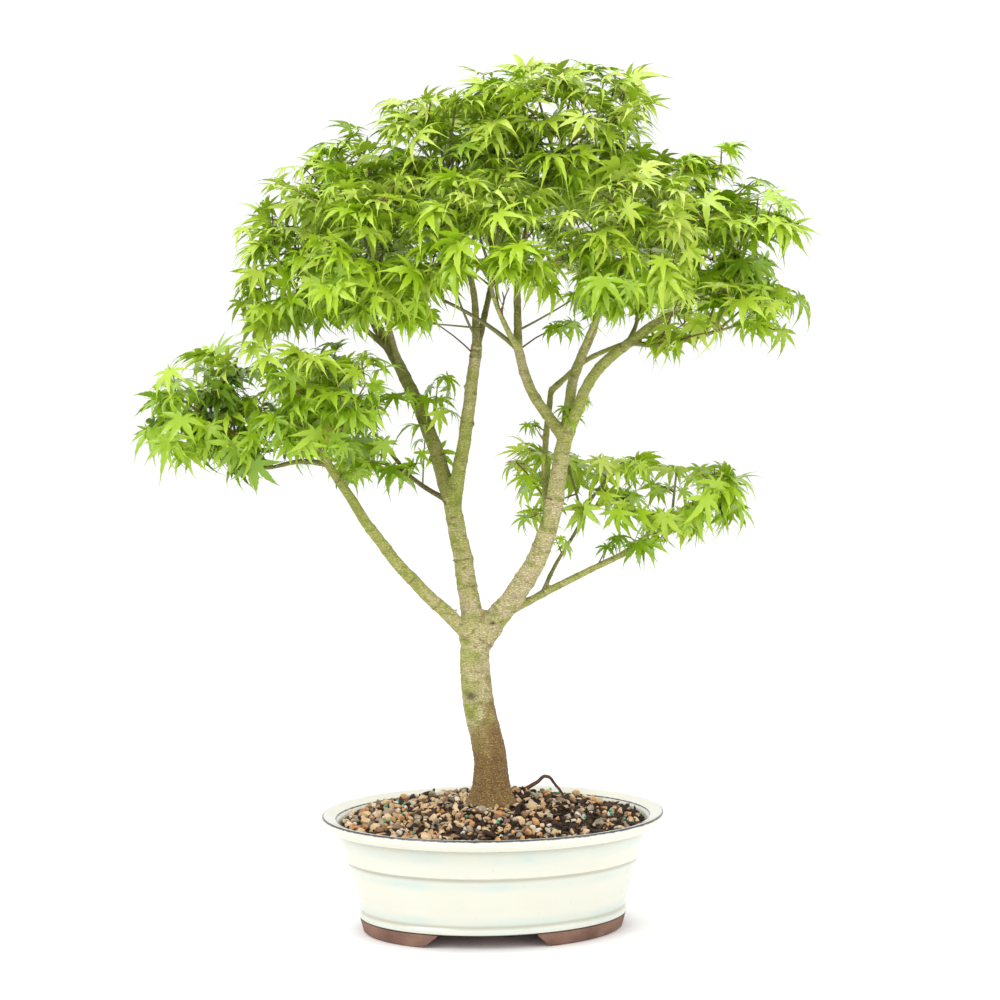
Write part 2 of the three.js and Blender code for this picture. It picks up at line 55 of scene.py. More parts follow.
pot_low, pot_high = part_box("pot_bowl")
pot_middle = (pot_low + pot_high) / 2
pot_origin = (pot_middle.x, pot_middle.y, pot_low.z - BOWL_UNDERSIDE * MM)
POT_PLACE = Matrix.Translation(pot_origin) @ Matrix.Scale(MM, 4)
TREE_PLACE = POT_PLACE @ Matrix.Rotation(TREE_TURN, 4, "Z")


def linear(hex_colour):
    """An sRGB hex colour as the linear colour that a socket takes."""
    shares = [int(hex_colour[i : i + 2], 16) / 255 for i in (1, 3, 5)]
    return (*[s / 12.92 if s <= 0.04045 else ((s + 0.055) / 1.055) ** 2.4 for s in shares], 1)


class Paint:
    """A material made of nodes. A socket takes a number, a hex colour or what another node gives."""

    def __init__(self, name, sockets):
        self.material = bpy.data.materials.new(name)
        self.material.use_nodes = True
        self.tree = self.material.node_tree
        self.shader(sockets)

    def fill(self, node, sockets):
        """Set or link sockets of a node."""
        for key, value in sockets.items():
            if isinstance(value, bpy.types.NodeSocket):
                self.tree.links.new(value, node.inputs[key])
            else:
                node.inputs[key].default_value = linear(value) if isinstance(value, str) else value

    def shader(self, sockets):
        """Set or link sockets of the material's shader."""
        self.fill(self.tree.nodes["Principled BSDF"], sockets)

    def node(self, kind, sockets, output=0, **settings):
        """What a new node gives."""
        node = self.tree.nodes.new("ShaderNode" + kind)
        for name, value in settings.items():
            setattr(node, name, value)
        self.fill(node, sockets)
        return node.outputs[output]

    def where(self):
        """The place on the piece, in the piece's own frame."""
        return self.node("TexCoord", {}, "Object")

    def painted(self, name):
        """What paint_values has put on the piece."""
        return self.node("Attribute", {}, "Fac", attribute_name=name)

    def clouds(self, where, size, detail, output="Fac"):
        """Soft noise, with features of a size in mm."""
        return self.node("TexNoise", {"Vector": where, "Scale": 1 / (size * MM), "Detail": detail}, output)

    def cells(self, where, size, **settings):
        """How far off the middle or the edge of a cell is, with cells of a size in mm."""
        return self.node("TexVoronoi", {"Vector": where, "Scale": 1 / (size * MM)}, "Distance", **settings)

    def maths(self, operation, *values):
        """What a sum gives."""
        return self.node("Math", dict(enumerate(values)), operation=operation)

    def ranged(self, value, low, high, at_low=0, at_high=1):
        """at_low up to low, at_high from high on, and even between."""
        ends = {"From Min": low, "From Max": high, "To Min": at_low, "To Max": at_high}
        return self.node("MapRange", {"Value": value, **ends})

    def mixed(self, share, under, over):
        """A share of one colour over another."""
        return self.node("Mix", {0: share, 6: under, 7: over}, 2, data_type="RGBA")

    def bump(self, height, strength, depth):
        """The surface's direction with fine relief, of a depth in mm."""
        return self.node("Bump", {"Height": height, "Strength": strength, "Distance": depth * MM})


# The studio. The tree stands on a plain white table that runs on out of sight, in soft daylight from all
# round, with one large soft lamp high on the left and a weaker one on the right. The camera stands two
# metres away, a little above the middle of the tree, and looks five degrees down.
CAMERA_PLACE = (5.5, -2000, 538.5)
CAMERA_PITCH = math.radians(-5)
CAMERA_LENS = 85.7
SENSOR_WIDTH = 36
FLOOR_HALF = 30
SKY_STRENGTH = 1.03
# Each lamp: where it stands in the tree's frame, in metres, what it aims at, its width and its power
LAMPS = {
    "key_lamp": ((-1.3, -1.6, 2.2), (0, 0, 0.45), 1.5, 26),
    "fill_lamp": ((1.8, -1.2, 1.2), (0, 0, 0.4), 1.6, 8),
    "top_lamp": ((0.2, 0.3, 2.4), (0, 0, 0.5), 1.4, 12),
}

camera_data = bpy.data.cameras.new("camera")
camera_data.lens = CAMERA_LENS
camera_data.sensor_width = SENSOR_WIDTH
camera = bpy.data.objects.new("camera", camera_data)
camera.location = TREE_PLACE @ Vector(CAMERA_PLACE)
camera.rotation_euler = (math.pi / 2 + CAMERA_PITCH, 0, TREE_TURN)
bpy.context.scene.collection.objects.link(camera)
bpy.context.scene.camera = camera

for lamp_name, (spot, target, width, power) in LAMPS.items():
    lamp_data = bpy.data.lights.new(lamp_name, "AREA")
    lamp_data.shape = "DISK"
    lamp_data.size = width
    lamp_data.energy = power
    lamp = bpy.data.objects.new(lamp_name, lamp_data)
    lamp.location = TREE_PLACE @ (Vector(spot) / MM)
    aim = TREE_PLACE @ (Vector(target) / MM) - lamp.location
    lamp.rotation_euler = aim.to_track_quat("-Z", "Y").to_euler()
    bpy.context.scene.collection.objects.link(lamp)

world = bpy.data.worlds.new("daylight")
bpy.context.scene.world = world
world.use_nodes = True
world.node_tree.nodes["Background"].inputs["Color"].default_value = linear("#ffffff")
world.node_tree.nodes["Background"].inputs["Strength"].default_value = SKY_STRENGTH
bpy.context.scene.view_settings.view_transform = "Standard"

bpy.ops.mesh.primitive_plane_add(size=2 * FLOOR_HALF)
table = bpy.context.object
table.name = "white_table"
table_paint = Paint(
    "matt_white_paint", {"Base Color": "#fefefe", "Roughness": 0.9, "Specular IOR Level": 0.1}
)
table.data.materials.append(table_paint.material)


# The bowl of the pot. It is one piece of stoneware pressed in a mould, with a raised band over a groove, a
# lip that turns out, and a bead round its foot, dipped in a cream glaze and fired. The glaze is glossy. It
# runs thin and dark blue-grey over the edges of the lip, and pools bluish green in the hollows.
OVAL_STRETCH = 37
BOWL_SIDES = 192
# Half width, height and the radius of the rounding there, from under the floor over the lip to the inside
BOWL_OUTLINE = [
    (75, BOWL_UNDERSIDE, 0.5), (78, 10.3, 1.2), (78.3, 13.5, 1.6), (76.6, 16.2, 1.6), (80, 30, 30),
    (88.6, 57.2, 0.8), (88.5, 59.4, 0.7), (91.6, 61.0, 1.3), (94.6, 74, 20), (98.2, 84.4, 2.4),
    (107, 87.2, 2.4), (110, 91.5, 2.2), (109.2, 96.8, 1.6), (106.5, 96.7, 1.6), (97.6, 93.6, 1.6),
    (95.4, 91, 1.5), (82.5, 58, 8), (70, 18, 4),
]
ROUNDING_STEPS = 4
OUTLINE_STEP = 1.6
# Where the glaze differs, and the hollows where shade is painted into it, as half width, height and reach
LIP_EDGES = [(108.9, 96.4, 1.9), (97.2, 93.4, 1.3)]
# Painted shade: darker grey-brown under the lip, in the groove under the band and above the bead
SHADED_HOLLOWS = [(99.4, 85.4, 3.6), (88.6, 58.6, 1.6), (77.0, 16.3, 1.7)]
POOLS = [(96.6, 79.0, 6.5), (87.5, 53.0, 4.5), (78.0, 20.0, 4.5), (77.6, 12.0, 2.0)]


def rounded(outline, steps):
    """The outline with each corner replaced by an arc of its own radius, as far as its sides leave room."""
    points = []
    for i, (x, z, radius) in enumerate(outline):
        corner = np.array((x, z), float)
        if i in (0, len(outline) - 1):
            points.append(corner)
            continue
        back = np.array(outline[i - 1][:2]) - corner
        on = np.array(outline[i + 1][:2]) - corner
        room = min(np.linalg.norm(back), np.linalg.norm(on)) * 0.48
        back, on = back / np.linalg.norm(back), on / np.linalg.norm(on)
        half = math.acos(np.clip(back @ on, -1, 1)) / 2
        cut = min(room, radius / math.tan(half))
        for k in range(steps + 1):
            t = k / steps
            points.append(corner + back * cut * (1 - t) ** 2 + on * cut * t**2)
    return np.array(points)


def oval_points(half_width, height, sides):
    """A level ring of points in the oval plan of the pot, by half its depth from front to back."""
    turn = np.arange(sides) / sides * 2 * math.pi
    return np.stack(
        [(half_width + OVAL_STRETCH) * np.cos(turn), half_width * np.sin(turn), np.full(sides, height)], 1
    )


def skin_rings(rings, capped=True):
    """Rings of points, skinned one to the next, with a fan over each end, as points and triangles."""
    rings = np.asarray(rings, float)
    count, sides = rings.shape[:2]
    low = np.arange(count - 1)[:, None] * sides + np.arange(sides)
    low_next = np.arange(count - 1)[:, None] * sides + (np.arange(sides) + 1) % sides
    faces = [np.stack([low, low_next, low_next + sides], -1).reshape(-1, 3)]
    faces.append(np.stack([low, low_next + sides, low + sides], -1).reshape(-1, 3))
    points = rings.reshape(-1, 3)
    if capped:
        for end, flip in ((0, True), (count - 1, False)):
            middle = np.full(sides, len(points))
            ring = end * sides + np.arange(sides)
            after = end * sides + (np.arange(sides) + 1) % sides
            faces.append(np.stack([middle, after, ring] if flip else [middle, ring, after], -1))
            points = np.vstack([points, rings[end].mean(0)])
    return points, np.vstack(faces)


def make_piece(name, points, triangles, place, materials, finish_of=None, smooth=True):
    """A mesh of triangles, set in its place. finish_of gives each triangle's material by number."""
    mesh = bpy.data.meshes.new(name)
    turn = np.array(place.to_3x3())
    placed = np.asarray(points, float) @ turn.T + np.array(place.translation)
    triangles = np.asarray(triangles, np.int32)
    mesh.vertices.add(len(placed))
    mesh.vertices.foreach_set("co", placed.ravel().astype(np.float32))
    mesh.loops.add(triangles.size)
    mesh.loops.foreach_set("vertex_index", triangles.ravel())
    mesh.polygons.add(len(triangles))
    mesh.polygons.foreach_set("loop_start", np.arange(0, triangles.size, 3, dtype=np.int32))
    for material in materials:
        mesh.materials.append(material)
    if finish_of is not None:
        mesh.polygons.foreach_set("material_index", np.asarray(finish_of, np.int32))
    mesh.polygons.foreach_set("use_smooth", np.full(len(triangles), smooth))
    mesh.update(calc_edges=True)
    mesh.validate()
    piece = bpy.data.objects.new(name, mesh)
    bpy.context.scene.collection.objects.link(piece)
    return piece


def paint_values(piece, name, values):
    """A number at each vertex, for a material to read."""
    layer = piece.data.attributes.new(name, "FLOAT", "POINT")
    layer.data.foreach_set("value", np.asarray(values, np.float32))


def evenly(points, step):
    """The outline with points added wherever two are more than a step apart."""
    filled = [points[0]]
    for point in points[1:]:
        start = filled[-1]
        parts = max(1, math.ceil(np.linalg.norm(point - start) / step))
        filled += [start + (point - start) * k / parts for k in range(1, parts + 1)]
    return np.array(filled)


def near(outline, spots):
    """From 0 to 1, how near each outline point is to any of the spots, each with its own reach."""
    shares = [np.exp(-(((outline - (x, z)) ** 2).sum(1)) / reach**2) for x, z, reach in spots]
    return np.clip(sum(shares), 0, 1)


def along_bowl(values):
    """One value a ring, for every point of the bowl's rings and for the middles of its two ends."""
    return np.concatenate([np.repeat(values, BOWL_SIDES), [0, 0]])


bowl_outline = evenly(rounded(BOWL_OUTLINE, ROUNDING_STEPS), OUTLINE_STEP)
bowl_rings = [oval_points(r, z, BOWL_SIDES) for r, z in bowl_outline]
bowl_points, bowl_faces = skin_rings(bowl_rings)

# Cream stoneware glaze: glassy and smooth, with a faint ripple where it ran, and tiny iron specks
glaze = Paint(
    "cream_stoneware_glaze", {"Roughness": 0.16, "IOR": 1.52, "Coat Weight": 0.35, "Coat Roughness": 0.06}
)
where = glaze.where()
CLOUD_MM, SPECK_MM, RIPPLE_MM, RAGGED_MM = 38, 7, 9, 4
clouds = glaze.clouds(where, CLOUD_MM, 3)
cream = glaze.mixed(clouds, "#dfdecf", "#e6e5d8")
pooled = glaze.maths("MULTIPLY", glaze.painted("pool"), glaze.ranged(clouds, 0.25, 0.85))
bluish = glaze.mixed(pooled, cream, "#c6d8d2")
# Painted shade: the hollows are darkened grey-brown where shade falls in them
shaded = glaze.mixed(glaze.maths("MULTIPLY", glaze.painted("hollow_shade"), 0.6), bluish, "#a39d88")
speck_share = glaze.ranged(glaze.cells(where, SPECK_MM), 0.035, 0.06, 0.55, 0)
speckled = glaze.mixed(speck_share, shaded, "#8d8672")
edge = glaze.painted("lip_edge")
ragged = glaze.maths("MULTIPLY_ADD", glaze.clouds(where, RAGGED_MM, 4), 0.9, -0.45)
edge_line = glaze.ranged(glaze.maths("MULTIPLY_ADD", edge, edge, ragged), 0.35, 0.7, 0, 0.95)
edged = glaze.mixed(edge_line, speckled, "#272b3a")
rippled = glaze.bump(glaze.clouds(where, RIPPLE_MM, 2), 0.12, 0.5)
glaze.shader({"Base Color": edged, "Normal": rippled})

bowl = make_piece("glazed_bowl", bowl_points, bowl_faces, POT_PLACE, [glaze.material])
paint_values(bowl, "lip_edge", along_bowl(near(bowl_outline, LIP_EDGES)))
paint_values(bowl, "hollow_shade", along_bowl(near(bowl_outline, SHADED_HOLLOWS)))
paint_values(bowl, "pool", along_bowl(near(bowl_outline, POOLS)))
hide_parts("pot_bowl")
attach(bowl, "root")


# The two feet. They are the bowl's own clay, a ring cut through by an arch at the front and the back, wiped
# clean of glaze before firing. The bare stoneware is dark brown, matt and slightly gritty.
FOOT_TOP = 9.0
FOOT_HEIGHT = 12.0
FOOT_SECTION = [(62, 9), (62, -1.8), (63.2, -3), (73, -3), (74.6, -1.8), (77.2, 8.2), (77, 9)]
ARCH_MIDDLE = -16
ARCH_HALF_BOTTOM = 54
ARCH_HALF_TOP = 41
FOOT_STEPS = 72


def arch_half(height):
    """Half the width of the arch at a height: its sides stand up steeply and splay out at the bottom."""
    share = (FOOT_TOP - height) / FOOT_HEIGHT
    return ARCH_HALF_TOP + (ARCH_HALF_BOTTOM - ARCH_HALF_TOP) * share**2


def foot_rings(side):
    """Sections of one foot from its front end round to its back end. side is 1 on the right."""
    ends = []
    for half_width, height in FOOT_SECTION:
        reach = abs(ARCH_MIDDLE + side * arch_half(height))
        ends.append(math.acos(reach / (half_width + OVAL_STRETCH)))
    rings = []
    for k in range(FOOT_STEPS + 1):
        ring = []
        for (half_width, height), end in zip(FOOT_SECTION, ends):
            turn = end * (2 * k / FOOT_STEPS - 1)
            across = side * (half_width + OVAL_STRETCH) * math.cos(turn)
            ring.append((across, half_width * math.sin(turn), height))
        rings.append(ring)
    return rings if side > 0 else rings[::-1]


# Bare stoneware: dull, with fine grog that shows as paler grit, drawn at its real size of about 0.8 mm
bare_clay = Paint("bare_brown_stoneware", {"Roughness": 0.8})
where = bare_clay.where()
GROG_MM, STAIN_MM = 0.8, 22
grog = bare_clay.clouds(where, GROG_MM, 2)
both = bare_clay.maths("MULTIPLY_ADD", grog, 0.5, bare_clay.clouds(where, STAIN_MM, 3))
clay_colour = bare_clay.mixed(bare_clay.ranged(both, 0.5, 1.0), "#644539", "#93705f")
bare_clay.shader({"Base Color": clay_colour, "Normal": bare_clay.bump(grog, 0.35, 0.2)})

WORN_EDGE = 0.5
for side, hand in ((1, "right"), (-1, "left")):
    foot_points, foot_faces = skin_rings(foot_rings(side))
    foot = make_piece("foot_" + hand, foot_points, foot_faces, POT_PLACE, [bare_clay.material])
    trim = foot.modifiers.new("worn_edges", "BEVEL")
    trim.width = WORN_EDGE * MM
    trim.segments = 2
    trim.limit_method = "ANGLE"
    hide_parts("pot_foot_" + hand)
    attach(foot, "root")

# The underside of the bowl, between the feet, is wiped clean of glaze too. Its dark bare clay also stands
# in for the deep shade under the pot, seen through the arches, as painted shade.
UNDERSIDE_HALF, UNDERSIDE_SKIN = 74.4, 0.4
underside_rings = [
    oval_points(UNDERSIDE_HALF, BOWL_UNDERSIDE - UNDERSIDE_SKIN, BOWL_SIDES),
    oval_points(UNDERSIDE_HALF, BOWL_UNDERSIDE + UNDERSIDE_SKIN, BOWL_SIDES),
]
underside = make_piece(
    "bare_underside_in_shade", *skin_rings(underside_rings), POT_PLACE, [bare_clay.material], smooth=False
)
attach(underside, "root")


# The soil. It is dark composted bark and loam that fills the bowl and rises to a low mound about the trunk.
# Only its top shows, crumbly and damp, between the grains of the gravel.
SOIL_EDGE = 90
SOIL_HALF_WIDTH = 94
SEAT_HEIGHT = 101
SEAT_RADIUS = 36
MOUND_SPREAD = 60
TRUNK_FOOT = (-1, 15)
# A crumbly heap of old roots behind the trunk's right side
ROOT_HEAP = (25, 31)
HEAP_RISE = 10
HEAP_SPREAD = 11
SOIL_RINGS = 46
SOIL_SIDES = 230
SOIL_DEPTH = 24
SOIL_TAPER = 0.93
# The compost lies a little under the tops of the grains. It has broad and fine lumps, and crumbs, each
# given as a height and a width.
UNDER_GRAINS = 1.5
BROAD_LUMPS = (1.1, 17)
FINE_LUMPS = (0.9, 6)
CRUMBS = (0.7, 2.2)
trunk_foot = Matrix.Rotation(TREE_TURN, 2) @ Vector(TRUNK_FOOT)
root_heap = Matrix.Rotation(TREE_TURN, 2) @ Vector(ROOT_HEAP)


def lump(x, y, size, seed):
    """How much the ground rises or dips at a spot, for lumps of a height and a width."""
    rise, across = size
    return rise * noise.noise((x / across, y / across, seed))


def soil_height(x, y):
    """The compost's height: a mound about the trunk, the heap of old roots, and lumps."""
    away = math.hypot(x - trunk_foot.x, y - trunk_foot.y)
    rise = (SEAT_HEIGHT - SOIL_EDGE) * math.exp(-((max(0, away - SEAT_RADIUS) / MOUND_SPREAD) ** 2))
    heap_away = math.hypot(x - root_heap.x, y - root_heap.y)
    heap = HEAP_RISE * math.exp(-((heap_away / HEAP_SPREAD) ** 2))
    lumps = lump(x, y, BROAD_LUMPS, 0) + lump(x, y, FINE_LUMPS, 5)
    return SOIL_EDGE - UNDER_GRAINS + rise + heap * (1 + 0.5 * noise.noise((x / 5, y / 5, 2))) + lumps


def soil_spot(turn, share):
    """Where a spot on the soil lies: its turn about the pot, and its share of the way to the edge."""
    x = share * (SOIL_HALF_WIDTH + OVAL_STRETCH) * math.cos(turn)
    return x, share * SOIL_HALF_WIDTH * math.sin(turn)


soil_rings = []
for k in range(SOIL_RINGS):
    share = 1 - (k + 0.4) / SOIL_RINGS
    ring = []
    for i in range(SOIL_SIDES):
        x, y = soil_spot(i / SOIL_SIDES * 2 * math.pi, share)
        ring.append((x, y, soil_height(x, y) + lump(x, y, CRUMBS, 9)))
    soil_rings.append(ring)
skirt = [(SOIL_TAPER * x, SOIL_TAPER * y, SOIL_EDGE - SOIL_DEPTH) for x, y, _ in soil_rings[0]]
soil_points, soil_faces = skin_rings([skirt, *soil_rings])

# Damp composted bark: nearly black brown, with threads and crumbs of paler brown
compost = Paint("damp_bark_compost", {"Roughness": 0.85})
CRUMB_MM = 2.2
crumb = compost.clouds(compost.where(), CRUMB_MM, 5)
soil_colour = compost.mixed(compost.ranged(crumb, 0.5, 0.85), "#1f1308", "#66462b")
compost.shader({"Base Color": soil_colour, "Normal": compost.bump(crumb, 0.8, 0.8)})

soil = make_piece("compost", soil_points, soil_faces, POT_PLACE, [compost.material])
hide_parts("soil")
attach(soil, "root")


# The gravel. It is river grit of mixed stone, 4 to 13 mm, scattered by hand over the soil, thickly on the
# left and thinly on the right, with crumbs of dark bark and a few green beads of plant food among it.
GRAIN_SHAPES = 20
# Each kind of grain: its two colours, its share of the grains, and its least and largest size in mm
GRAINS = {
    "grey": ("#c2b197", "#857560", 0.24, 4.4, 12.5),
    "tan": ("#eed3a8", "#bf996b", 0.33, 4.6, 13.0),
    "ochre": ("#e8b57a", "#bd834c", 0.13, 4.4, 11.0),
    "brown": ("#a88460", "#6f5238", 0.13, 4.4, 12.0),
    "pale": ("#efe5d4", "#cfc2ae", 0.1, 4.2, 10.0),
    "bark": ("#4a3421", "#20150c", 0.17, 6.0, 14.0),
}
GRAIN_TRIES = 9000
# How near two grains may lie, as a share of the sum of their sizes
GRAIN_PACKING = 0.37
# How far a grain's middle stands above the soil, as a share of its size
GRAIN_PROUD = (0.08, 0.24)
GRAVEL_REACH = 0.975
TRUNK_CLEAR = 15
# Where the gravel thins out from left to right, over what span, and the bare patches there
THINS_AT = 12
THINNING_SPAN = 16
BARE_SHARE = 0.26
PATCHINESS = 0.9
PATCH_WIDTH = 24
MOTTLE_MM, GRIT_MM = 9, 1.1
CRUMB_COUNT = 4200
CRUMB_REACH = 0.98
CRUMB_RISE = 0.8
BEAD_COUNT = 20
BEAD_RADIUS = 1.3
BEAD_RISE = 4.2


def ball(detail):
    """A unit sphere of even triangles, as points and triangles."""
    bpy.ops.mesh.primitive_ico_sphere_add(subdivisions=detail, radius=1)
    sphere = bpy.context.object
    points = np.array([v.co for v in sphere.data.vertices])
    faces = np.array([p.vertices for p in sphere.data.polygons])
    shape = sphere.data
    bpy.data.objects.remove(sphere)
    bpy.data.meshes.remove(shape)
    return points, faces


def random_turn(chance):
    """A rotation matrix that may point any way."""
    axis = Vector([chance.gauss(0, 1) for _ in range(3)])
    return np.array(Matrix.Rotation(chance.uniform(0, 2 * math.pi), 3, axis.normalized()))


def grain_shape(chance, points):
    """A ball worn to a pebble: flats cut across it and uneven lengths."""
    shape = points.copy()
    for _ in range(9):
        axis = np.array([chance.gauss(0, 1) for _ in range(3)])
        axis /= np.linalg.norm(axis)
        over = np.clip(shape @ axis - chance.uniform(0.3, 0.7), 0, None)
        shape -= np.outer(over * 0.95, axis)
    shape /= np.ptp(shape, axis=0).max() / 2
    return shape * (1, chance.uniform(0.65, 0.95), chance.uniform(0.5, 0.85))


class Gathered:
    """Shapes joined one by one into the arrays of a single mesh."""

    def __init__(self):
        self.points, self.faces, self.finishes, self.count = [], [], [], 0

    def add(self, points, faces, finish=0):
        self.points.append(points)
        self.faces.append(faces + self.count)
        self.finishes.append(np.full(len(faces), finish))
        self.count += len(points)

    def piece(self, name, place, materials, smooth=True):
        points, faces = np.vstack(self.points), np.vstack(self.faces)
        return make_piece(name, points, faces, place, materials, np.concatenate(self.finishes), smooth)


def on_the_left(x):
    """1 on the left of the pot and 0 on the right, where more of the soil shows."""
    return 1 / (1 + math.exp((x - THINS_AT) / THINNING_SPAN))


def stone(name, light, dark):
    """Worn stone: dull, mottled from grain to grain and within each."""
    grit = Paint(name, {"Roughness": 0.78})
    where = grit.where()
    fine = grit.clouds(where, GRIT_MM, 3)
    both = grit.maths("MULTIPLY_ADD", fine, 0.6, grit.clouds(where, MOTTLE_MM, 1))
    colour = grit.mixed(grit.ranged(both, 0.55, 1.05), dark, light)
    grit.shader({"Base Color": colour, "Normal": grit.bump(fine, 0.4, 0.25)})
    return grit.material


chance = random.Random("gravel")
ball_points, ball_faces = ball(2)
grain_shapes = [grain_shape(chance, ball_points) for _ in range(GRAIN_SHAPES)]
grain_kinds = list(GRAINS)
gravel = {kind: Gathered() for kind in grain_kinds}
settled = []
for attempt in range(GRAIN_TRIES):
    x, y = soil_spot(chance.uniform(0, 2 * math.pi), math.sqrt(chance.random()) * GRAVEL_REACH)
    thin = 1 - on_the_left(x)
    kind_shares = [GRAINS[k][2] * (1 + 1.6 * thin * (k == "bark")) for k in grain_kinds]
    kind = chance.choices(grain_kinds, kind_shares)[0]
    size = chance.triangular(GRAINS[kind][3], GRAINS[kind][4], GRAINS[kind][3] + 1.5)
    crowded = any(
        (x - a) ** 2 + (y - b) ** 2 < (GRAIN_PACKING * (size + other)) ** 2 for a, b, other in settled
    )
    bare = thin * (BARE_SHARE + PATCHINESS * noise.noise((x / PATCH_WIDTH, y / PATCH_WIDTH, 3)))
    if crowded or chance.random() < bare or math.hypot(x - trunk_foot.x, y - trunk_foot.y) < TRUNK_CLEAR:
        continue
    settled.append((x, y, size))
    shape = grain_shapes[chance.randrange(GRAIN_SHAPES)] * size / 2
    if kind == "bark":
        shape = shape * (1.2, 0.8, 0.55)
    lie = random_turn(chance)
    height = soil_height(x, y) + size * chance.uniform(*GRAIN_PROUD)
    gravel[kind].add(shape @ lie.T + (x, y, height), ball_faces)

crumbs = Gathered()
crumb_points, crumb_faces = ball(1)
for _ in range(CRUMB_COUNT):
    x, y = soil_spot(chance.uniform(0, 2 * math.pi), math.sqrt(chance.random()) * CRUMB_REACH)
    if chance.random() < 0.45 * on_the_left(x):
        continue
    shape = crumb_points * (chance.uniform(0.7, 3.2), chance.uniform(0.6, 1.2), chance.uniform(0.4, 1.0))
    level_turn = Matrix.Rotation(chance.uniform(0, 2 * math.pi), 3, "Z")
    lie = np.array(level_turn @ Matrix.Rotation(chance.gauss(0, 0.5), 3, "Y"))
    spot = (x, y, soil_height(x, y) + CRUMB_RISE)
    crumbs.add(shape @ lie.T + spot, crumb_faces, chance.choice((0, 0, 1)))
brown_bark = stone("brown_bark_crumb", "#7a563a", "#3d2818")
crumb_piece = crumbs.piece("bark_crumbs", POT_PLACE, [compost.material, brown_bark], smooth=False)
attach(crumb_piece, "root")

for kind, heap in gravel.items():
    light, dark = GRAINS[kind][:2]
    grains = heap.piece("gravel_" + kind, POT_PLACE, [stone(kind + "_grit", light, dark)], smooth=False)
    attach(grains, "root")

# Plant food: small round beads in a waxy green coat
plant_food = Paint("waxy_green_beads", {"Base Color": "#3fae84", "Roughness": 0.35})
beads = Gathered()
for _ in range(BEAD_COUNT):
    x, y = soil_spot(chance.uniform(0, 2 * math.pi), math.sqrt(chance.uniform(0.08, 0.9)))
    radius = BEAD_RADIUS * chance.uniform(0.8, 1.15)
    beads.add(ball_points * radius + (x, y, soil_height(x, y) + BEAD_RISE), ball_faces)
bead_piece = beads.piece("plant_food_beads", POT_PLACE, [plant_food.material])
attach(bead_piece, "root")


# The trunk and the limbs. They are living wood under thin bark, grown and cut back over some years: smooth
# and brown at the foot, pale tan with moss green patches on the trunk, and olive green with corky rings and
# pale pores on the boughs. The whole is one skin, so that each fork is filleted as grown wood is.
TRUNK_LINE = [(-1, 15, 94), (-1.6, 15, 106), (-3, 15, 142), (-12, 14, 184), (-16, 12, 226), (-14, 12, 262)]
TRUNK_CURVE = [(-1, 15, 101.3), (-3, 15, 142), (-12, 14, 184), (-16, 12, 226), (-14, 12, 262)]
TRUNK_RADIUS = (14.6, 12.0)
TRUNK_STEPS = 90
TRUNK_SIDES = 40
FLARE_GROW = 8
FLARE_FADE = 12
FLARE_LOBES = 5
LOBE_DEPTH = 0.07
# How far the trunk runs on into the fork, and the length over which it is rounded off there
TRUNK_OVERRUN = 12
TRUNK_ROUNDING = 34
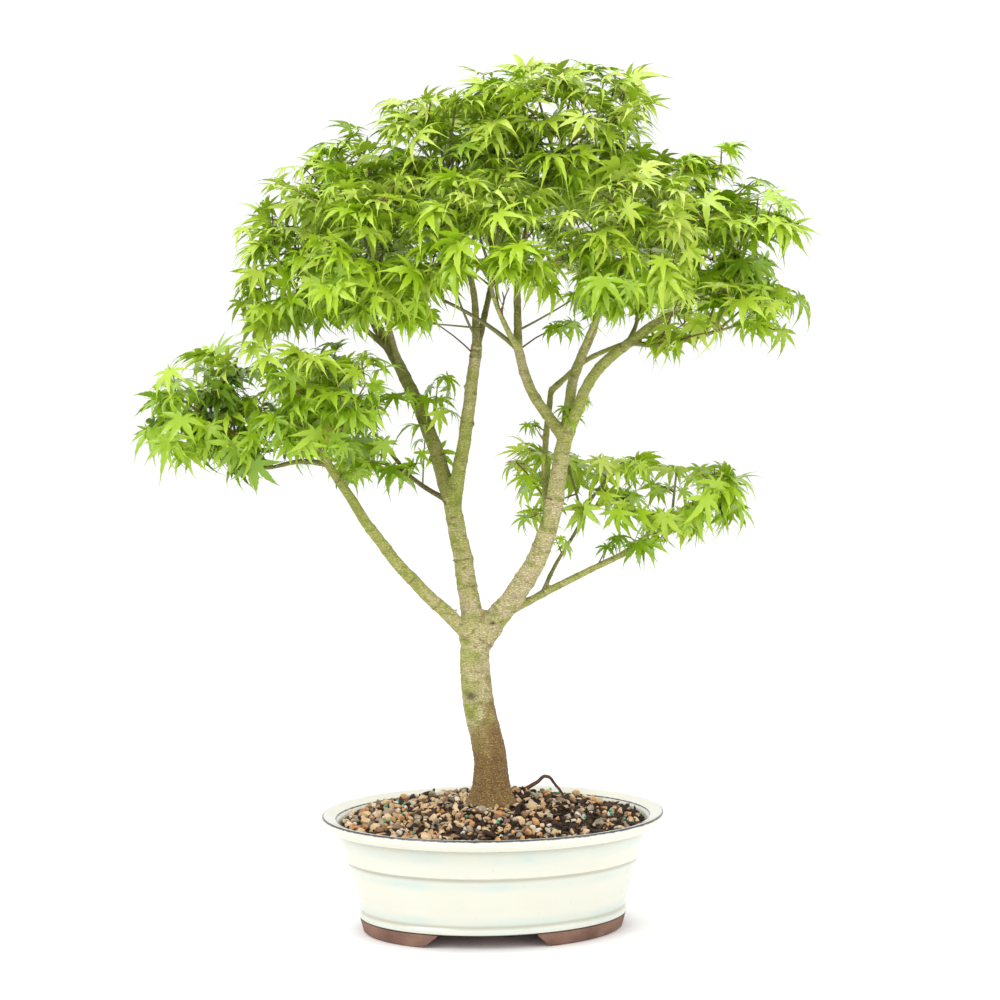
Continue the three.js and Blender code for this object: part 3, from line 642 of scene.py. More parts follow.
# Each limb: its parent, the share of the parent's length where it leaves it, its tip in the tree's frame,
# how far its middle bows, and its radius at the parent and at the tip
LIMBS = {
    "bough_left_low": ("trunk", 0.86, (-137, -38, 397), (-7, -2, -5), (6.4, 3.6)),
    "bough_middle": ("trunk", 0.88, (-36, 24, 363), (0, 2, 3), (9.2, 7.2)),
    "bough_right": ("trunk", 0.82, (61, 4, 419), (17, -2, -9), (10.4, 6.4)),
    "bough_middle_left": ("bough_middle", 1, (-104, 57, 516), (6, 0, 2), (6.8, 4.6)),
    "bough_middle_right": ("bough_middle", 0.94, (-14, 5, 494), (2, 0, 3), (6.2, 4.9)),
    "bough_left_outer": ("bough_left_low", 1, (-182, -36, 394), (0, 0, 3), (2.5, 1.8)),
    "bough_left_upper": ("bough_left_low", 1, (-146, -50, 416), (2, 0, 0), (3.1, 2.3)),
    "bough_left_slim": ("bough_middle", 0.97, (-82, 53, 388), (0, 0, -3), (2.6, 1.9)),
    "bough_left_slim_upper": ("bough_left_slim", 0.8, (-114, 62, 430), (2, 0, -3), (1.9, 1.5)),
    "bough_right_inward": ("bough_right", 0.98, (20, -24, 494), (-9, 0, 3), (4.8, 3.9)),
    "bough_right_upright": ("bough_right", 1, (84, 26, 505), (-5, 0, 2), (4.9, 4.0)),
    "bough_right_outer": ("bough_right", 0.97, (130, -30, 510), (-10, 0, 9), (5.1, 4.1)),
    "bough_right_slim": ("bough_right", 0.6, (49, 37, 454), (-4, 4, 0), (3.1, 2.6)),
    "bough_right_slim_arm": ("bough_right_slim", 1, (116, 46, 496), (-3, 0, 5), (2.6, 2.1)),
    "bough_right_low": ("bough_right", 0.16, (110, 35, 313), (0, 0, 1), (3.7, 2.6)),
    "bough_right_low_outer": ("bough_right_low", 1, (140, 42, 336), (0, 0, -1), (2.4, 2.0)),
    "bough_right_low_upper": ("bough_right_low", 0.36, (68, 40, 328), (-2, 0, 0), (2.0, 1.6)),
    "branch_left_low": ("bough_middle_left", 0.8, (-138, 36, 522), (0, 0, 4), (2.6, 1.9)),
    "branch_left_front": ("bough_middle_left", 0.72, (-98, -35, 540), (0, -4, 6), (2.8, 1.9)),
    "branch_left_high": ("bough_middle_left", 1, (-120, 26, 598), (-5, 4, 0), (3.3, 2.1)),
    "branch_left_back": ("bough_middle_left", 0.9, (-122, 98, 552), (0, 3, -3), (2.8, 1.9)),
    "branch_top": ("bough_right_inward", 1, (32, -6, 610), (-5, -3, 0), (3.5, 2.2)),
    "branch_top_left": ("bough_middle_right", 1, (-38, -22, 598), (8, 0, 0), (3.3, 2.1)),
    "branch_top_back": ("bough_middle_right", 0.97, (-2, 72, 580), (5, -6, 4), (3.1, 2.0)),
    "branch_centre_front": ("bough_right_inward", 0.98, (0, -78, 535), (0, 3, -4), (2.8, 1.9)),
    "branch_right_front": ("bough_right_upright", 0.6, (98, -58, 538), (-2, -6, 4), (2.8, 1.9)),
    "branch_right_high": ("bough_right_upright", 1, (118, 6, 578), (-5, 3, 0), (3.2, 2.1)),
    "branch_right_outer": ("bough_right_outer", 1, (176, -22, 548), (2, 0, -3), (3.2, 2.1)),
    "branch_right_low": ("bough_right_outer", 0.82, (160, -44, 499), (0, -3, -3), (2.3, 1.7)),
    "branch_right_back": ("bough_right_slim_arm", 1, (122, 84, 538), (5, 0, -3), (2.1, 1.7)),
}
LIMB_STEP = 3.0
COLLAR = 0.28
COLLAR_FADE = 10
NODE_SPACING = (17, 34)
NODE_SWELL = 0.08
NODE_WIDTH = 1.6
WOOD_VOXEL = 1.12
# Swellings of the fork: where each is in the tree's frame, and its radius
SWELLINGS = [((-1, 12, 253), 9), ((-24, 12, 244), 6), ((-9, 11, 258), 11)]
# Limbs painted darker than the rest, from 0 to 1: partly bark that is darker, partly painted shade where the
# limbs lie deep in the crown
DARK_BARK_AND_SHADE_LIMBS = {
    "bough_middle_left": 0.32, "bough_left_slim": 0.85, "bough_left_slim_upper": 0.85,
    "bough_left_outer": 0.6, "bough_left_upper": 0.35,
    "branch_left_low": 0.6, "branch_left_back": 0.7, "branch_left_front": 0.4,
    "bough_right_slim": 0.3, "bough_right_inward": 0.2, "bough_right_low_upper": 0.5, "branch_top": 0.3,
    "branch_top_left": 0.4, "branch_top_back": 0.5, "branch_right_low": 0.5, "branch_right_back": 0.4,
}
# How green the skin of a limb is at its foot and at its tip, where it differs from the rest, from 0 to 1
GREENNESS = {
    "bough_middle": (0.46, 0.74), "bough_middle_right": (1.0, 0.5), "bough_middle_left": (0.86, 0.8),
    "bough_right": (0.42, 0.6), "bough_right_inward": (0.8, 0.55), "bough_right_upright": (0.72, 0.5),
    "bough_left_low": (0.6, 0.95),
}
THICK_GREENNESS, THIN_GREENNESS = (0.7, 0.85), (0.72, 0.72)
# A limb thicker than this at its foot is a bough, with more sides and rings further apart than a branch
THICK_LIMB = 4
# The damp brown foot of the trunk: how high it reaches in the middle, how much higher for each mm to the
# right, and the height over which it turns green. Moss grows on the trunk's left.
TRUNK_MIDDLE = -16
BROWN_TOP = 126
BROWN_SLANT = 1.3
BROWN_FADE = 82
TRUNK_GREEN = 0.56
MOSSY_SIDE = 0.25
# Stubs of cut or dead shoots: the limb, the share of its length, how far each runs, and its radius
STUBS = [
    ("bough_left_low", 0.13, (2, -4, 10), 1.3), ("bough_left_low", 0.16, (-5, -4, 8), 1.1),
    ("bough_left_low", 0.62, (-4, -5, 6), 1.2), ("bough_right_slim", 0.62, (-11, -3, 17), 0.9),
    ("bough_right", 0.3, (7, -8, 4), 1.5), ("bough_middle", 0.5, (-9, -6, 4), 1.6),
    ("bough_middle_right", 0.45, (8, -4, 6), 1.1), ("bough_middle_left", 0.3, (-7, -3, 5), 1.3),
    ("bough_right_outer", 0.35, (3, -6, 7), 1.1), ("bough_middle_right", 0.7, (-7, -2, 5), 1.0),
]
# Old wounds and buds on the front of the wood: where each is across and up in the tree's frame, how wide,
# how proud, and how dark its middle is, with painted shade on its upper side
KNOTS = [
    ((-21, 195), 8.6, 2.6, 1.0), ((-1.5, 257), 3.2, 0.7, 1.0), ((-14, 239), 3.4, 0.8, 0.8),
    ((18, 280), 4.6, 1.5, 0.45), ((-31, 292), 3.4, 1.8, 0.1), ((-25.6, 257), 3.0, 0.2, 0.8),
    ((-16, 229), 6.0, 1.0, 0.15), ((-20, 182), 7.5, 2.4, 0.1), ((-34, 347), 3.4, 1.4, 0.35),
    ((-66, 299), 3.0, 1.2, 0.3), ((33, 322), 3.8, 1.2, 0.4), ((56, 379), 3.2, 1.2, 0.4),
]


def smooth_line(knots):
    """A centripetal curve through the knots, as a function from a share to a point."""
    knots = [np.array(knot, float) for knot in knots]
    padded = [2 * knots[0] - knots[1], *knots, 2 * knots[-1] - knots[-2]]

    def point(share):
        place = min(max(share, 0), 1) * (len(knots) - 1)
        i = min(int(place), len(knots) - 2)
        t = place - i
        a, b, c, d = padded[i : i + 4]
        u, v, w = (max(np.linalg.norm(q - p), 1e-6) ** 0.5 for p, q in ((a, b), (b, c), (c, d)))
        leave = ((b - a) / u - (c - a) / (u + v) + (c - b) / v) * v
        arrive = ((c - b) / v - (d - b) / (v + w) + (d - c) / w) * v
        square = 3 * (c - b) - 2 * leave - arrive
        cube = 2 * (b - c) + leave + arrive
        return b + leave * t + square * t**2 + cube * t**3

    return point


def bent_line(start, bend, end):
    """A plain bend from start to end, drawn towards a third point."""
    start, bend, end = (np.array(p, float) for p in (start, bend, end))
    return lambda t: (1 - t) ** 2 * start + 2 * t * (1 - t) * bend + t**2 * end


def direction(line, share):
    """Which way a line runs at a share of its length."""
    ahead = line(min(share + 0.005, 1)) - line(max(share - 0.005, 0))
    return ahead / np.linalg.norm(ahead)


def tube(points, radii, sides):
    """A round tube along points, closed at both ends, with one radius or one row of radii a point."""
    points = np.asarray(points, float)
    ahead = np.gradient(points, axis=0)
    ahead /= np.linalg.norm(ahead, axis=1)[:, None]
    side = np.cross(ahead[0], (0, 0, 1) if abs(ahead[0][2]) < 0.9 else (0, 1, 0))
    turn = np.arange(sides) / sides * 2 * math.pi
    radii = np.broadcast_to(np.asarray(radii, float).reshape(len(points), -1), (len(points), sides))
    rings = []
    for centre, along, radius in zip(points, ahead, radii):
        side = side - along * (side @ along)
        side /= np.linalg.norm(side)
        up = np.cross(along, side)
        rings.append(centre + np.outer(radius * np.cos(turn), side) + np.outer(radius * np.sin(turn), up))
    return skin_rings(rings)


lines = {"trunk": smooth_line(TRUNK_CURVE)}
for name, (parent, at, tip, bow, _) in LIMBS.items():
    start = lines[parent](at)
    middle = (start + tip) / 2 + bow
    lines[name] = smooth_line([start, middle, tip])

chance = random.Random("wood")
swell_points, swell_faces = ball(3)
wood = Gathered()
# Points along the middle of the wood, each with its limb's radius, its greenness, its distance to the
# nearest node ring of its limb, and how much darker it is painted, for darker bark and for painted shade.
# The trunk has no rings.
wood_samples = []
NO_RING = 99.0

trunk_line = smooth_line(TRUNK_LINE)
trunk_centres = np.array([trunk_line(s) for s in np.linspace(0, 1, TRUNK_STEPS)])
trunk_turn = np.arange(TRUNK_SIDES) / TRUNK_SIDES * 2 * math.pi
trunk_rows = []
for centre in trunk_centres:
    height = max(0, centre[2] - TRUNK_CURVE[0][2])
    length = TRUNK_CURVE[-1][2] - TRUNK_CURVE[0][2]
    plain = TRUNK_RADIUS[0] + (TRUNK_RADIUS[1] - TRUNK_RADIUS[0]) * height / length
    flare = FLARE_GROW * math.exp(-height / FLARE_FADE)
    lobes = 1 + LOBE_DEPTH * np.cos(FLARE_LOBES * trunk_turn) * math.exp(-height / (2 * FLARE_FADE))
    rounded_off = min(1, (length + TRUNK_OVERRUN - height) / TRUNK_ROUNDING)
    trunk_rows.append((plain + flare) * lobes * rounded_off)
    wood_samples.append((centre, float(np.mean(trunk_rows[-1])), 0, NO_RING, 0))
wood.add(*tube(trunk_centres, np.array(trunk_rows), TRUNK_SIDES))

for name, (parent, at, tip, bow, (thick, thin)) in LIMBS.items():
    line = lines[name]
    foot_green, tip_green = GREENNESS.get(name, THICK_GREENNESS if thick > THICK_LIMB else THIN_GREENNESS)
    shares = np.linspace(0, 1, 40)
    length = sum(np.linalg.norm(line(b) - line(a)) for a, b in zip(shares, shares[1:]))
    steps = max(8, int(length / LIMB_STEP * 2))
    nodes = []
    reach = chance.uniform(8, 20)
    while reach < length:
        nodes.append(reach)
        reach += chance.uniform(*NODE_SPACING) * (1.25 if thick > THICK_LIMB else 0.7)
    centres, radii = [], []
    for s in np.linspace(0, 1, steps):
        along = s * length
        radius = thick + (thin - thick) * s
        collar = 1 + COLLAR * math.exp(-along / COLLAR_FADE)
        rings = sum(math.exp(-(((along - node) / NODE_WIDTH) ** 2)) for node in nodes)
        # A limb isn't quite straight, except where it leaves its parent and where the next one follows
        wobble = np.array([noise.noise((along / 26, k * 7.3, sum(tip) / 50)) for k in range(3)])
        centres.append(line(s) + wobble * 0.16 * radius * min(1, along / 20) * min(1, (length - along) / 15))
        radii.append(radius * collar * (1 + NODE_SWELL * rings))
        nearest = min([abs(along - node) for node in nodes] + [NO_RING])
        green = foot_green + (tip_green - foot_green) * s
        wood_samples.append((centres[-1], radii[-1], green, nearest, DARK_BARK_AND_SHADE_LIMBS.get(name, 0)))
    wood.add(*tube(centres, radii, 20 if thick > THICK_LIMB else 14))

for name, share, run, radius in STUBS:
    foot = lines[name](share)
    wood.add(*tube([foot, foot + np.multiply(run, 0.6), foot + run], [1.4 * radius, radius, 0.8 * radius], 8))
for spot, radius in SWELLINGS:
    wood.add(swell_points * radius + spot, swell_faces)
rough_wood = wood.piece("rough_wood", TREE_PLACE, [])
fuse = rough_wood.modifiers.new("fuse", "REMESH")
fuse.mode = "VOXEL"
fuse.voxel_size = WOOD_VOXEL * MM
ease = rough_wood.modifiers.new("ease", "SMOOTH")
ease.factor = 0.5
ease.iterations = 3
fused = bpy.data.meshes.new_from_object(rough_wood.evaluated_get(bpy.context.evaluated_depsgraph_get()))
bpy.data.objects.remove(rough_wood)
bark_piece = bpy.data.objects.new("bark_of_trunk_and_limbs", fused)
bpy.context.scene.collection.objects.link(bark_piece)

# The bark's relief is in the mesh: corky wrinkles across the trunk, rings at the nodes, wounds and pits
to_tree = TREE_PLACE.inverted()
finder = KDTree(len(wood_samples))
for i, sample in enumerate(wood_samples):
    finder.insert(Vector(sample[0]), i)
finder.balance()
count = len(fused.vertices)
spots = np.empty(count * 3, np.float32)
fused.vertices.foreach_get("co", spots)
spots = spots.reshape(-1, 3).astype(float)
normals = np.empty(count * 3, np.float32)
fused.vertices.foreach_get("normal", normals)
normals = normals.reshape(-1, 3)
in_tree = spots @ np.array(to_tree.to_3x3()).T + np.array(to_tree.translation)
lift = np.zeros(count)
greens = np.zeros(count)
ring_shares = np.zeros(count)
wound_and_shade_shares = np.zeros(count)
dark_bark_and_shade_values = np.zeros(count)
for i, (x, y, z) in enumerate(in_tree):
    _, nearest, _ = finder.find((x, y, z))
    centre, radius, green, to_node, dark_bark_and_shade = wood_samples[nearest]
    dark_bark_and_shade_values[i] = dark_bark_and_shade
    if to_node == NO_RING:
        above_brown = (z - BROWN_TOP - BROWN_SLANT * (x - TRUNK_MIDDLE)) / BROWN_FADE
        green = TRUNK_GREEN * max(0, min(1, above_brown)) * (1 + MOSSY_SIDE * (centre[0] - x) / radius)
    scale = min(1, radius / 9)
    fine = noise.noise((x / 1.6, y / 1.6, z / 1.1))
    broad = noise.noise((x / 7, y / 7, z / 6))
    cross = noise.noise((x / 9, y / 9, z / 1.7)) if radius > THICK_LIMB else 0
    lift[i] = scale * (0.24 * fine + 0.6 * broad + 0.45 * cross)
    greens[i] = green + 0.2 * noise.noise((x / 12, y / 12, z / 16))
    ring_shares[i] = math.exp(-((to_node / 0.8) ** 2)) * (0.5 + noise.noise((x / 4, y / 4, z / 9)))
for (across, up), wide, proud, dark in KNOTS:
    beside = np.hypot(in_tree[:, 0] - across, in_tree[:, 2] - up)
    front = in_tree[np.argmin(np.where(beside < 2, in_tree[:, 1], 999))]
    away = np.linalg.norm(in_tree - front, axis=1)
    bulge = np.exp(-((away / wide) ** 2))
    pit = np.exp(-((away / (0.45 * wide)) ** 2))
    lift += proud * bulge - 1.5 * proud * dark * pit
    # A wound's dark middle is painted darker on its upper side, as shade under its rim, and lighter below
    upper_shade = 0.75 + 0.35 * np.clip((in_tree[:, 2] - up) / (0.4 * wide), -1, 1)
    wound_and_shade_shares = np.maximum(wound_and_shade_shares, dark * upper_shade * np.exp(-((away / (0.56 * wide)) ** 2)))
    greens += 0.55 * (dark < 0.15) * bulge
spots += normals * lift[:, None] * MM
fused.vertices.foreach_set("co", spots.ravel().astype(np.float32))
fused.polygons.foreach_set("use_smooth", np.ones(len(fused.polygons), bool))
fused.update()
paint_values(bark_piece, "green", np.clip(greens, 0, 1))
paint_values(bark_piece, "ring", ring_shares)
paint_values(bark_piece, "wound_and_shade", wound_and_shade_shares)
paint_values(bark_piece, "dark_bark_and_shade", dark_bark_and_shade_values)

# Maple bark: a dull, faintly waxy skin. Colours run from brown through tan to olive with age.
bark = Paint("smooth_maple_bark", {"Roughness": 0.68, "Specular IOR Level": 0.3})
where = bark.where()
PATCH_MM, FLECK_MM, PORE_MM, MOSS_MM, CRACK_MM, SWIRL_MM, GOLD_MM = 7, 2.0, 4, 11, 3.4, 5, 1.3
# The bark's colour by age, from the old foot to the young shoots
AGE_COLOURS = [
    (0.0, "#876a42"), (0.16, "#967b4e"), (0.28, "#ab9861"), (0.4, "#d8ca9e"),
    (0.52, "#d2c894"), (0.72, "#b7bb6a"), (1.0, "#97a344"),
]
green_share = bark.painted("green")
squash = bark.node("Mapping", {"Vector": where, "Scale": (1, 1, 1.9)})
patchy = bark.maths("MULTIPLY_ADD", bark.clouds(where, PATCH_MM, 4), 0.36, -0.18)
age = bark.maths("ADD", green_share, patchy)
aged = bark.node("ValToRGB", {"Fac": age}, "Color")
stops = aged.node.color_ramp.elements
while len(stops) < len(AGE_COLOURS):
    stops.new(0.5)
for stop, (place, colour) in zip(stops, AGE_COLOURS):
    stop.position = place
    stop.color = linear(colour)
moss_patch = bark.ranged(bark.clouds(squash, MOSS_MM, 5), 0.5, 0.64, 0, 0.75)
above_damp = bark.ranged(age, 0.16, 0.36)
mossy = bark.mixed(bark.maths("MULTIPLY", moss_patch, above_damp), aged, "#8f9c3e")
swirl = bark.clouds(where, SWIRL_MM, 2, "Color")
swirl_shift = bark.node("VectorMath", {0: swirl, "Scale": 3.5 * MM}, operation="SCALE")
swirled = bark.node("VectorMath", {0: squash, 1: swirl_shift}, operation="ADD")
crack_depth = bark.ranged(bark.cells(swirled, CRACK_MM, feature="DISTANCE_TO_EDGE"), 0.0, 0.16)
crack_dark = bark.maths("MULTIPLY_ADD", crack_depth, -0.5, 0.5)
old_share = bark.ranged(green_share, 0.3, 0.9, 1, 0.35)
cracked = bark.mixed(bark.maths("MULTIPLY", crack_dark, old_share), mossy, "#6b5531")
flecks = bark.clouds(squash, FLECK_MM, 3)
dark_flecked = bark.mixed(bark.ranged(flecks, 0.36, 0.52, 0.36, 0), cracked, "#5f4a2b")
# Golden dust of old bark on the brown foot
gold_speck = bark.ranged(bark.clouds(where, GOLD_MM, 2), 0.54, 0.66, 0, 0.7)
on_foot = bark.ranged(green_share, 0.1, 0.34, 1, 0.15)
flecked = bark.mixed(bark.maths("MULTIPLY", gold_speck, on_foot), dark_flecked, "#c2a35c")
wide_pores = bark.node("Mapping", {"Vector": where, "Scale": (0.8, 0.8, 2.0)})
pore_share = bark.ranged(bark.cells(wide_pores, PORE_MM), 0.05, 0.14, 0.5, 0)
pored = bark.mixed(pore_share, flecked, "#cfc7ab")
ringed = bark.mixed(bark.painted("ring"), pored, "#7a6b45")
# Darker bark on some limbs, and painted shade on those deep in the crown
bark_and_shade_darkened = bark.mixed(bark.maths("MULTIPLY", bark.painted("dark_bark_and_shade"), 0.85), ringed, "#5d4a33")
# Dark old wounds, with painted shade on their upper side
wounded_and_shaded = bark.mixed(bark.painted("wound_and_shade"), bark_and_shade_darkened, "#43351f")
cracks_and_flecks = bark.maths("ADD", crack_depth, flecks)
bark.shader({"Base Color": wounded_and_shaded, "Normal": bark.bump(cracks_and_flecks, 0.9, 0.5)})
fused.materials.append(bark.material)
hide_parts("trunk", *LIMBS)
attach(bark_piece, "root")


# The root that shows. One thin dead root arches out of the soil behind the trunk, on its right. It is dry
# wood that has lost its feeding ends, left where it grew, and the heap of old compost has sunk from under it.
ROOT_LINE = [(17, 38, 98), (27, 46, 106), (38, 50, 112), (46, 52, 117), (53, 55, 110), (61, 58, 99)]
ROOT_RADIUS = (2.1, 1.1)
root_curve = smooth_line(ROOT_LINE)
ROOT_STEPS = 40
ROOT_WOBBLE = 0.8
root_shares = np.linspace(0, 1, ROOT_STEPS)
root_wobble = [ROOT_WOBBLE * noise.noise((s * 9, 0, 4)) for s in root_shares]
root_points = [root_curve(s) + (0, 0, w) for s, w in zip(root_shares, root_wobble)]
root_radii = [ROOT_RADIUS[0] + (ROOT_RADIUS[1] - ROOT_RADIUS[0]) * s for s in root_shares]

# Dead root: dark red-brown and dry
dry_root = Paint("dry_root_bark", {"Roughness": 0.8})
ROOT_GRAIN_MM = 2
root_grain = dry_root.clouds(dry_root.where(), ROOT_GRAIN_MM, 4)
dry_root.shader({"Base Color": dry_root.mixed(root_grain, "#3c251d", "#7a5544")})
root = make_piece("dead_root", *tube(root_points, root_radii, 10), TREE_PLACE, [dry_root.material])
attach(root, "root")


# The foliage. Each mass grows on from the tip of its limb: a stem to a point under its middle, twigs that
# fan out from it by a golden spiral, finer twigs from those, and at their ends pairs of leaves on thin
# stalks. A leaf has five to seven toothed lobes, folded at the rib and drooping at the tip. Leaves hang
# outward, flatter near the top, and each spray has one of a few greens, yellower where it is young, and
# lighter on top of a mass and near its skin, where light is painted in.

# Each mass: its limb, its middle in the tree's frame, half its width, depth and height, and the count of
# leaves that sets how many twigs its stem has
MASSES = {
    "pad_left_outer": ("bough_left_outer", (-230, -26, 441), (72, 74, 59), 17),
    "pad_left_front": ("bough_left_upper", (-142, -60, 450), (70, 64, 60), 16),
    "pad_left_back": ("bough_left_slim_upper", (-134, 50, 438), (70, 64, 66), 16),
    "crown_left_low": ("branch_left_low", (-160, 8, 545), (68, 84, 62), 16),
    "crown_left_front": ("branch_left_front", (-92, -82, 568), (78, 66, 70), 17),
    "crown_left_high": ("branch_left_high", (-112, 2, 616), (80, 80, 54), 17),
    "crown_left_back": ("branch_left_back", (-100, 92, 578), (82, 66, 70), 15),
    "crown_top": ("branch_top", (54, -8, 664), (98, 84, 70), 21),
    "crown_top_left": ("branch_top_left", (-38, -20, 650), (76, 82, 60), 16),
    "crown_top_back": ("branch_top_back", (0, 84, 636), (90, 72, 72), 16),
    "crown_centre_front": ("branch_centre_front", (-2, -94, 574), (76, 62, 70), 17),
    "crown_right_front": ("branch_right_front", (106, -84, 574), (80, 66, 70), 17),
    "crown_right_high": ("branch_right_high", (150, 2, 612), (80, 80, 52), 15),
    "crown_right_outer": ("branch_right_outer", (199, -8, 572), (70, 80, 62), 15),
    "crown_right_low": ("branch_right_low", (186, -32, 516), (68, 70, 42), 13),
    "crown_right_back": ("branch_right_back", (116, 92, 574), (86, 66, 72), 15),
    "pad_right_outer": ("bough_right_low_outer", (168, 40, 358), (64, 60, 44), 13),
    "pad_right_inner": ("bough_right_low_upper", (84, 50, 370), (78, 60, 46), 14),
}
# Masses that let more light through, with their share of the usual sprays
THIN_MASSES = {
    "pad_left_back": 0.8, "pad_left_outer": 0.92, "crown_left_low": 0.84, "crown_left_front": 0.94,
    "crown_left_high": 0.96, "crown_left_back": 0.8, "crown_top": 0.92, "crown_top_left": 0.92,
    "crown_top_back": 0.76, "crown_centre_front": 0.88, "crown_right_front": 0.8, "crown_right_high": 0.82,
    "crown_right_outer": 0.7, "crown_right_low": 0.48, "crown_right_back": 0.7, "pad_right_outer": 0.66,
    "pad_right_inner": 0.62,
}
# Masses whose leaves are younger and yellower than the rest, or older and darker, by how much
FRESH_MASSES = {
    "pad_right_outer": 0.16, "pad_right_inner": 0.14, "crown_right_low": 0.1, "crown_top": 0.12,
    "crown_top_left": 0.07, "crown_centre_front": 0.1, "crown_right_front": 0.1, "crown_right_outer": 0.05,
    "pad_left_front": -0.19, "pad_left_outer": -0.24, "pad_left_back": -0.12,
}
# Masses whose lower part is bare, with the height that the sprays keep clear
BARE_BELOW = {"crown_centre_front": 30, "crown_right_front": 10, "crown_right_low": 10}
# Single sprays that stand out from the edges of their masses
OUTLYING = {
    "pad_left_outer": [(-202, -40, 399), (-283, -26, 424)],
    "pad_left_front": [(-191, -60, 498)],
    "pad_left_back": [(-81, 20, 451)],
    "crown_left_low": [(-186, 8, 608), (-204, 8, 591), (-207, 0, 529)],
    "crown_left_front": [(-172, -60, 625)],
    "crown_left_high": [(-63, 0, 698), (-112, 0, 672)],
    "crown_top": [(51, -30, 698), (79, -40, 704), (105, -8, 712)],
    "crown_top_left": [(-8, -20, 717)],
    "crown_centre_front": [(23, -94, 554), (38, -80, 544)],
    "crown_right_front": [(78, -84, 531), (94, -84, 528)],
    "crown_right_high": [(190, 0, 659), (216, 0, 630)],
    "crown_right_outer": [(246, -8, 589), (240, -20, 532)],
    "crown_right_low": [(232, -32, 507)],
    "pad_right_outer": [(154, 30, 388), (190, 40, 388), (203, 40, 374), (112, 40, 350)],
    "pad_right_inner": [(32, 30, 403)],
}
# Openings where the sky shows: how far across and up each is, seen from the front, and its radius
OPENINGS = [
    (131, 674, 15), (246, 618, 14), (232, 572, 11), (-147, 508, 16), (-257, 482, 14),
    (88, 362, 14), (96, 414, 12), (176, 346, 12), (-72, 508, 12),
]
# The spot that all the foliage grows away from, how square a mass is, and the gap between two masses
CROWN_HEART = (0, 10, 440)
BLOCK_POWER = 2.7
GAP = 0.3
# The stem of a mass: how it bends, how much of it has twigs, and how far from the middle it ends
STEM_BEND = 0.35
STEM_WITH_TWIGS = 0.7
HUB_DROP = -0.2
STEM_TIP_RADIUS = 1.6
# Its twigs: how wide they fan and how they rise, and the room at their ends, as shares of a big leaf
LEAVES_A_TWIG = 2.7
GOLDEN_ANGLE = math.pi * (3 - math.sqrt(5))
TWIG_FAN = 1.45
TWIG_RISE = 0.3
BIG_LEAF = 46
TWIG_ROOM = (0.72, 0.72, 0.25)
TWIG_LOWEST = 0.85
LONG_TWIG = 48
LONG_TWIG_BOW = 0.12
TWIG_RADIUS = (1.35, 0.85)
FINE_TWIG_RADIUS = (0.75, 0.45)
STALK_RADIUS = 0.34
STALK_LENGTH = (9, 19)
# How a leaf hangs, in degrees: how far it may turn and roll, its slope where its twig points level, how
# much flatter it lies on top of a mass, how much the slope varies, and its limits
LEAF_TURN = 44
LEAF_ROLL = 26
LEAF_SLOPE = 50
FLATTER_ON_TOP = 60
SLOPE_SPREAD = 20
SLOPE_LIMITS = (-20, 96)
# The length of a leaf's middle lobe
LEAF_LOBE = (17, 32)
LEAF_SHAPES = 22
# The sprays: the volume that each has, how far they stay inside the mass and above its floor, and how
# many leaves each has, how far apart its pairs are and at what angle
SPRAY_VOLUME = 20000
SPRAY_TRIES = 26
SPRAY_ROOM = (27, 27, 8)
SPRAY_FLOOR = 22
LEAVES_A_SPRAY = (4, 7)
PAIR_SPACING = 11
PAIR_ANGLE = 62
# Each lobe of a leaf: its angle from the middle one in degrees, and its length as a share of the middle one
LOBES = [(-130, 0.4), (-84, 0.78), (-42, 0.96), (0, 1), (42, 0.96), (84, 0.78), (130, 0.4)]
# Along a lobe: the share of its length, and its half width there as a share of its length, in teeth
LOBE_EDGE = [
    (0.35, 0.106), (0.43, 0.128), (0.49, 0.098), (0.58, 0.102), (0.64, 0.066), (0.74, 0.056), (0.81, 0.022),
]
# How far out the bays between the lobes reach, and the two at the stalk
SINUS = 0.275
LEAF_FOOT = 0.06
GREENS = ["#65851a", "#7fa31c", "#96b920", "#a7c828", "#b0cc38", "#b8cf48", "#c2d55c"]
# A few leaves at the tips are still bronze, and a few inside have withered
BRONZE, WITHERED = "#bfae55", "#a97c3a"
OFF_COLOUR_SHARE = 0.011


def drawing(seed):
    """Draws from 0 to 1 by a plain linear rule, the same each time."""
    span = 2**32
    state = (seed * 7919 + 12345) % span

    def draw():
        nonlocal state
        state = (state * 1664525 + 1013904223) % span
        return state / span

    return draw


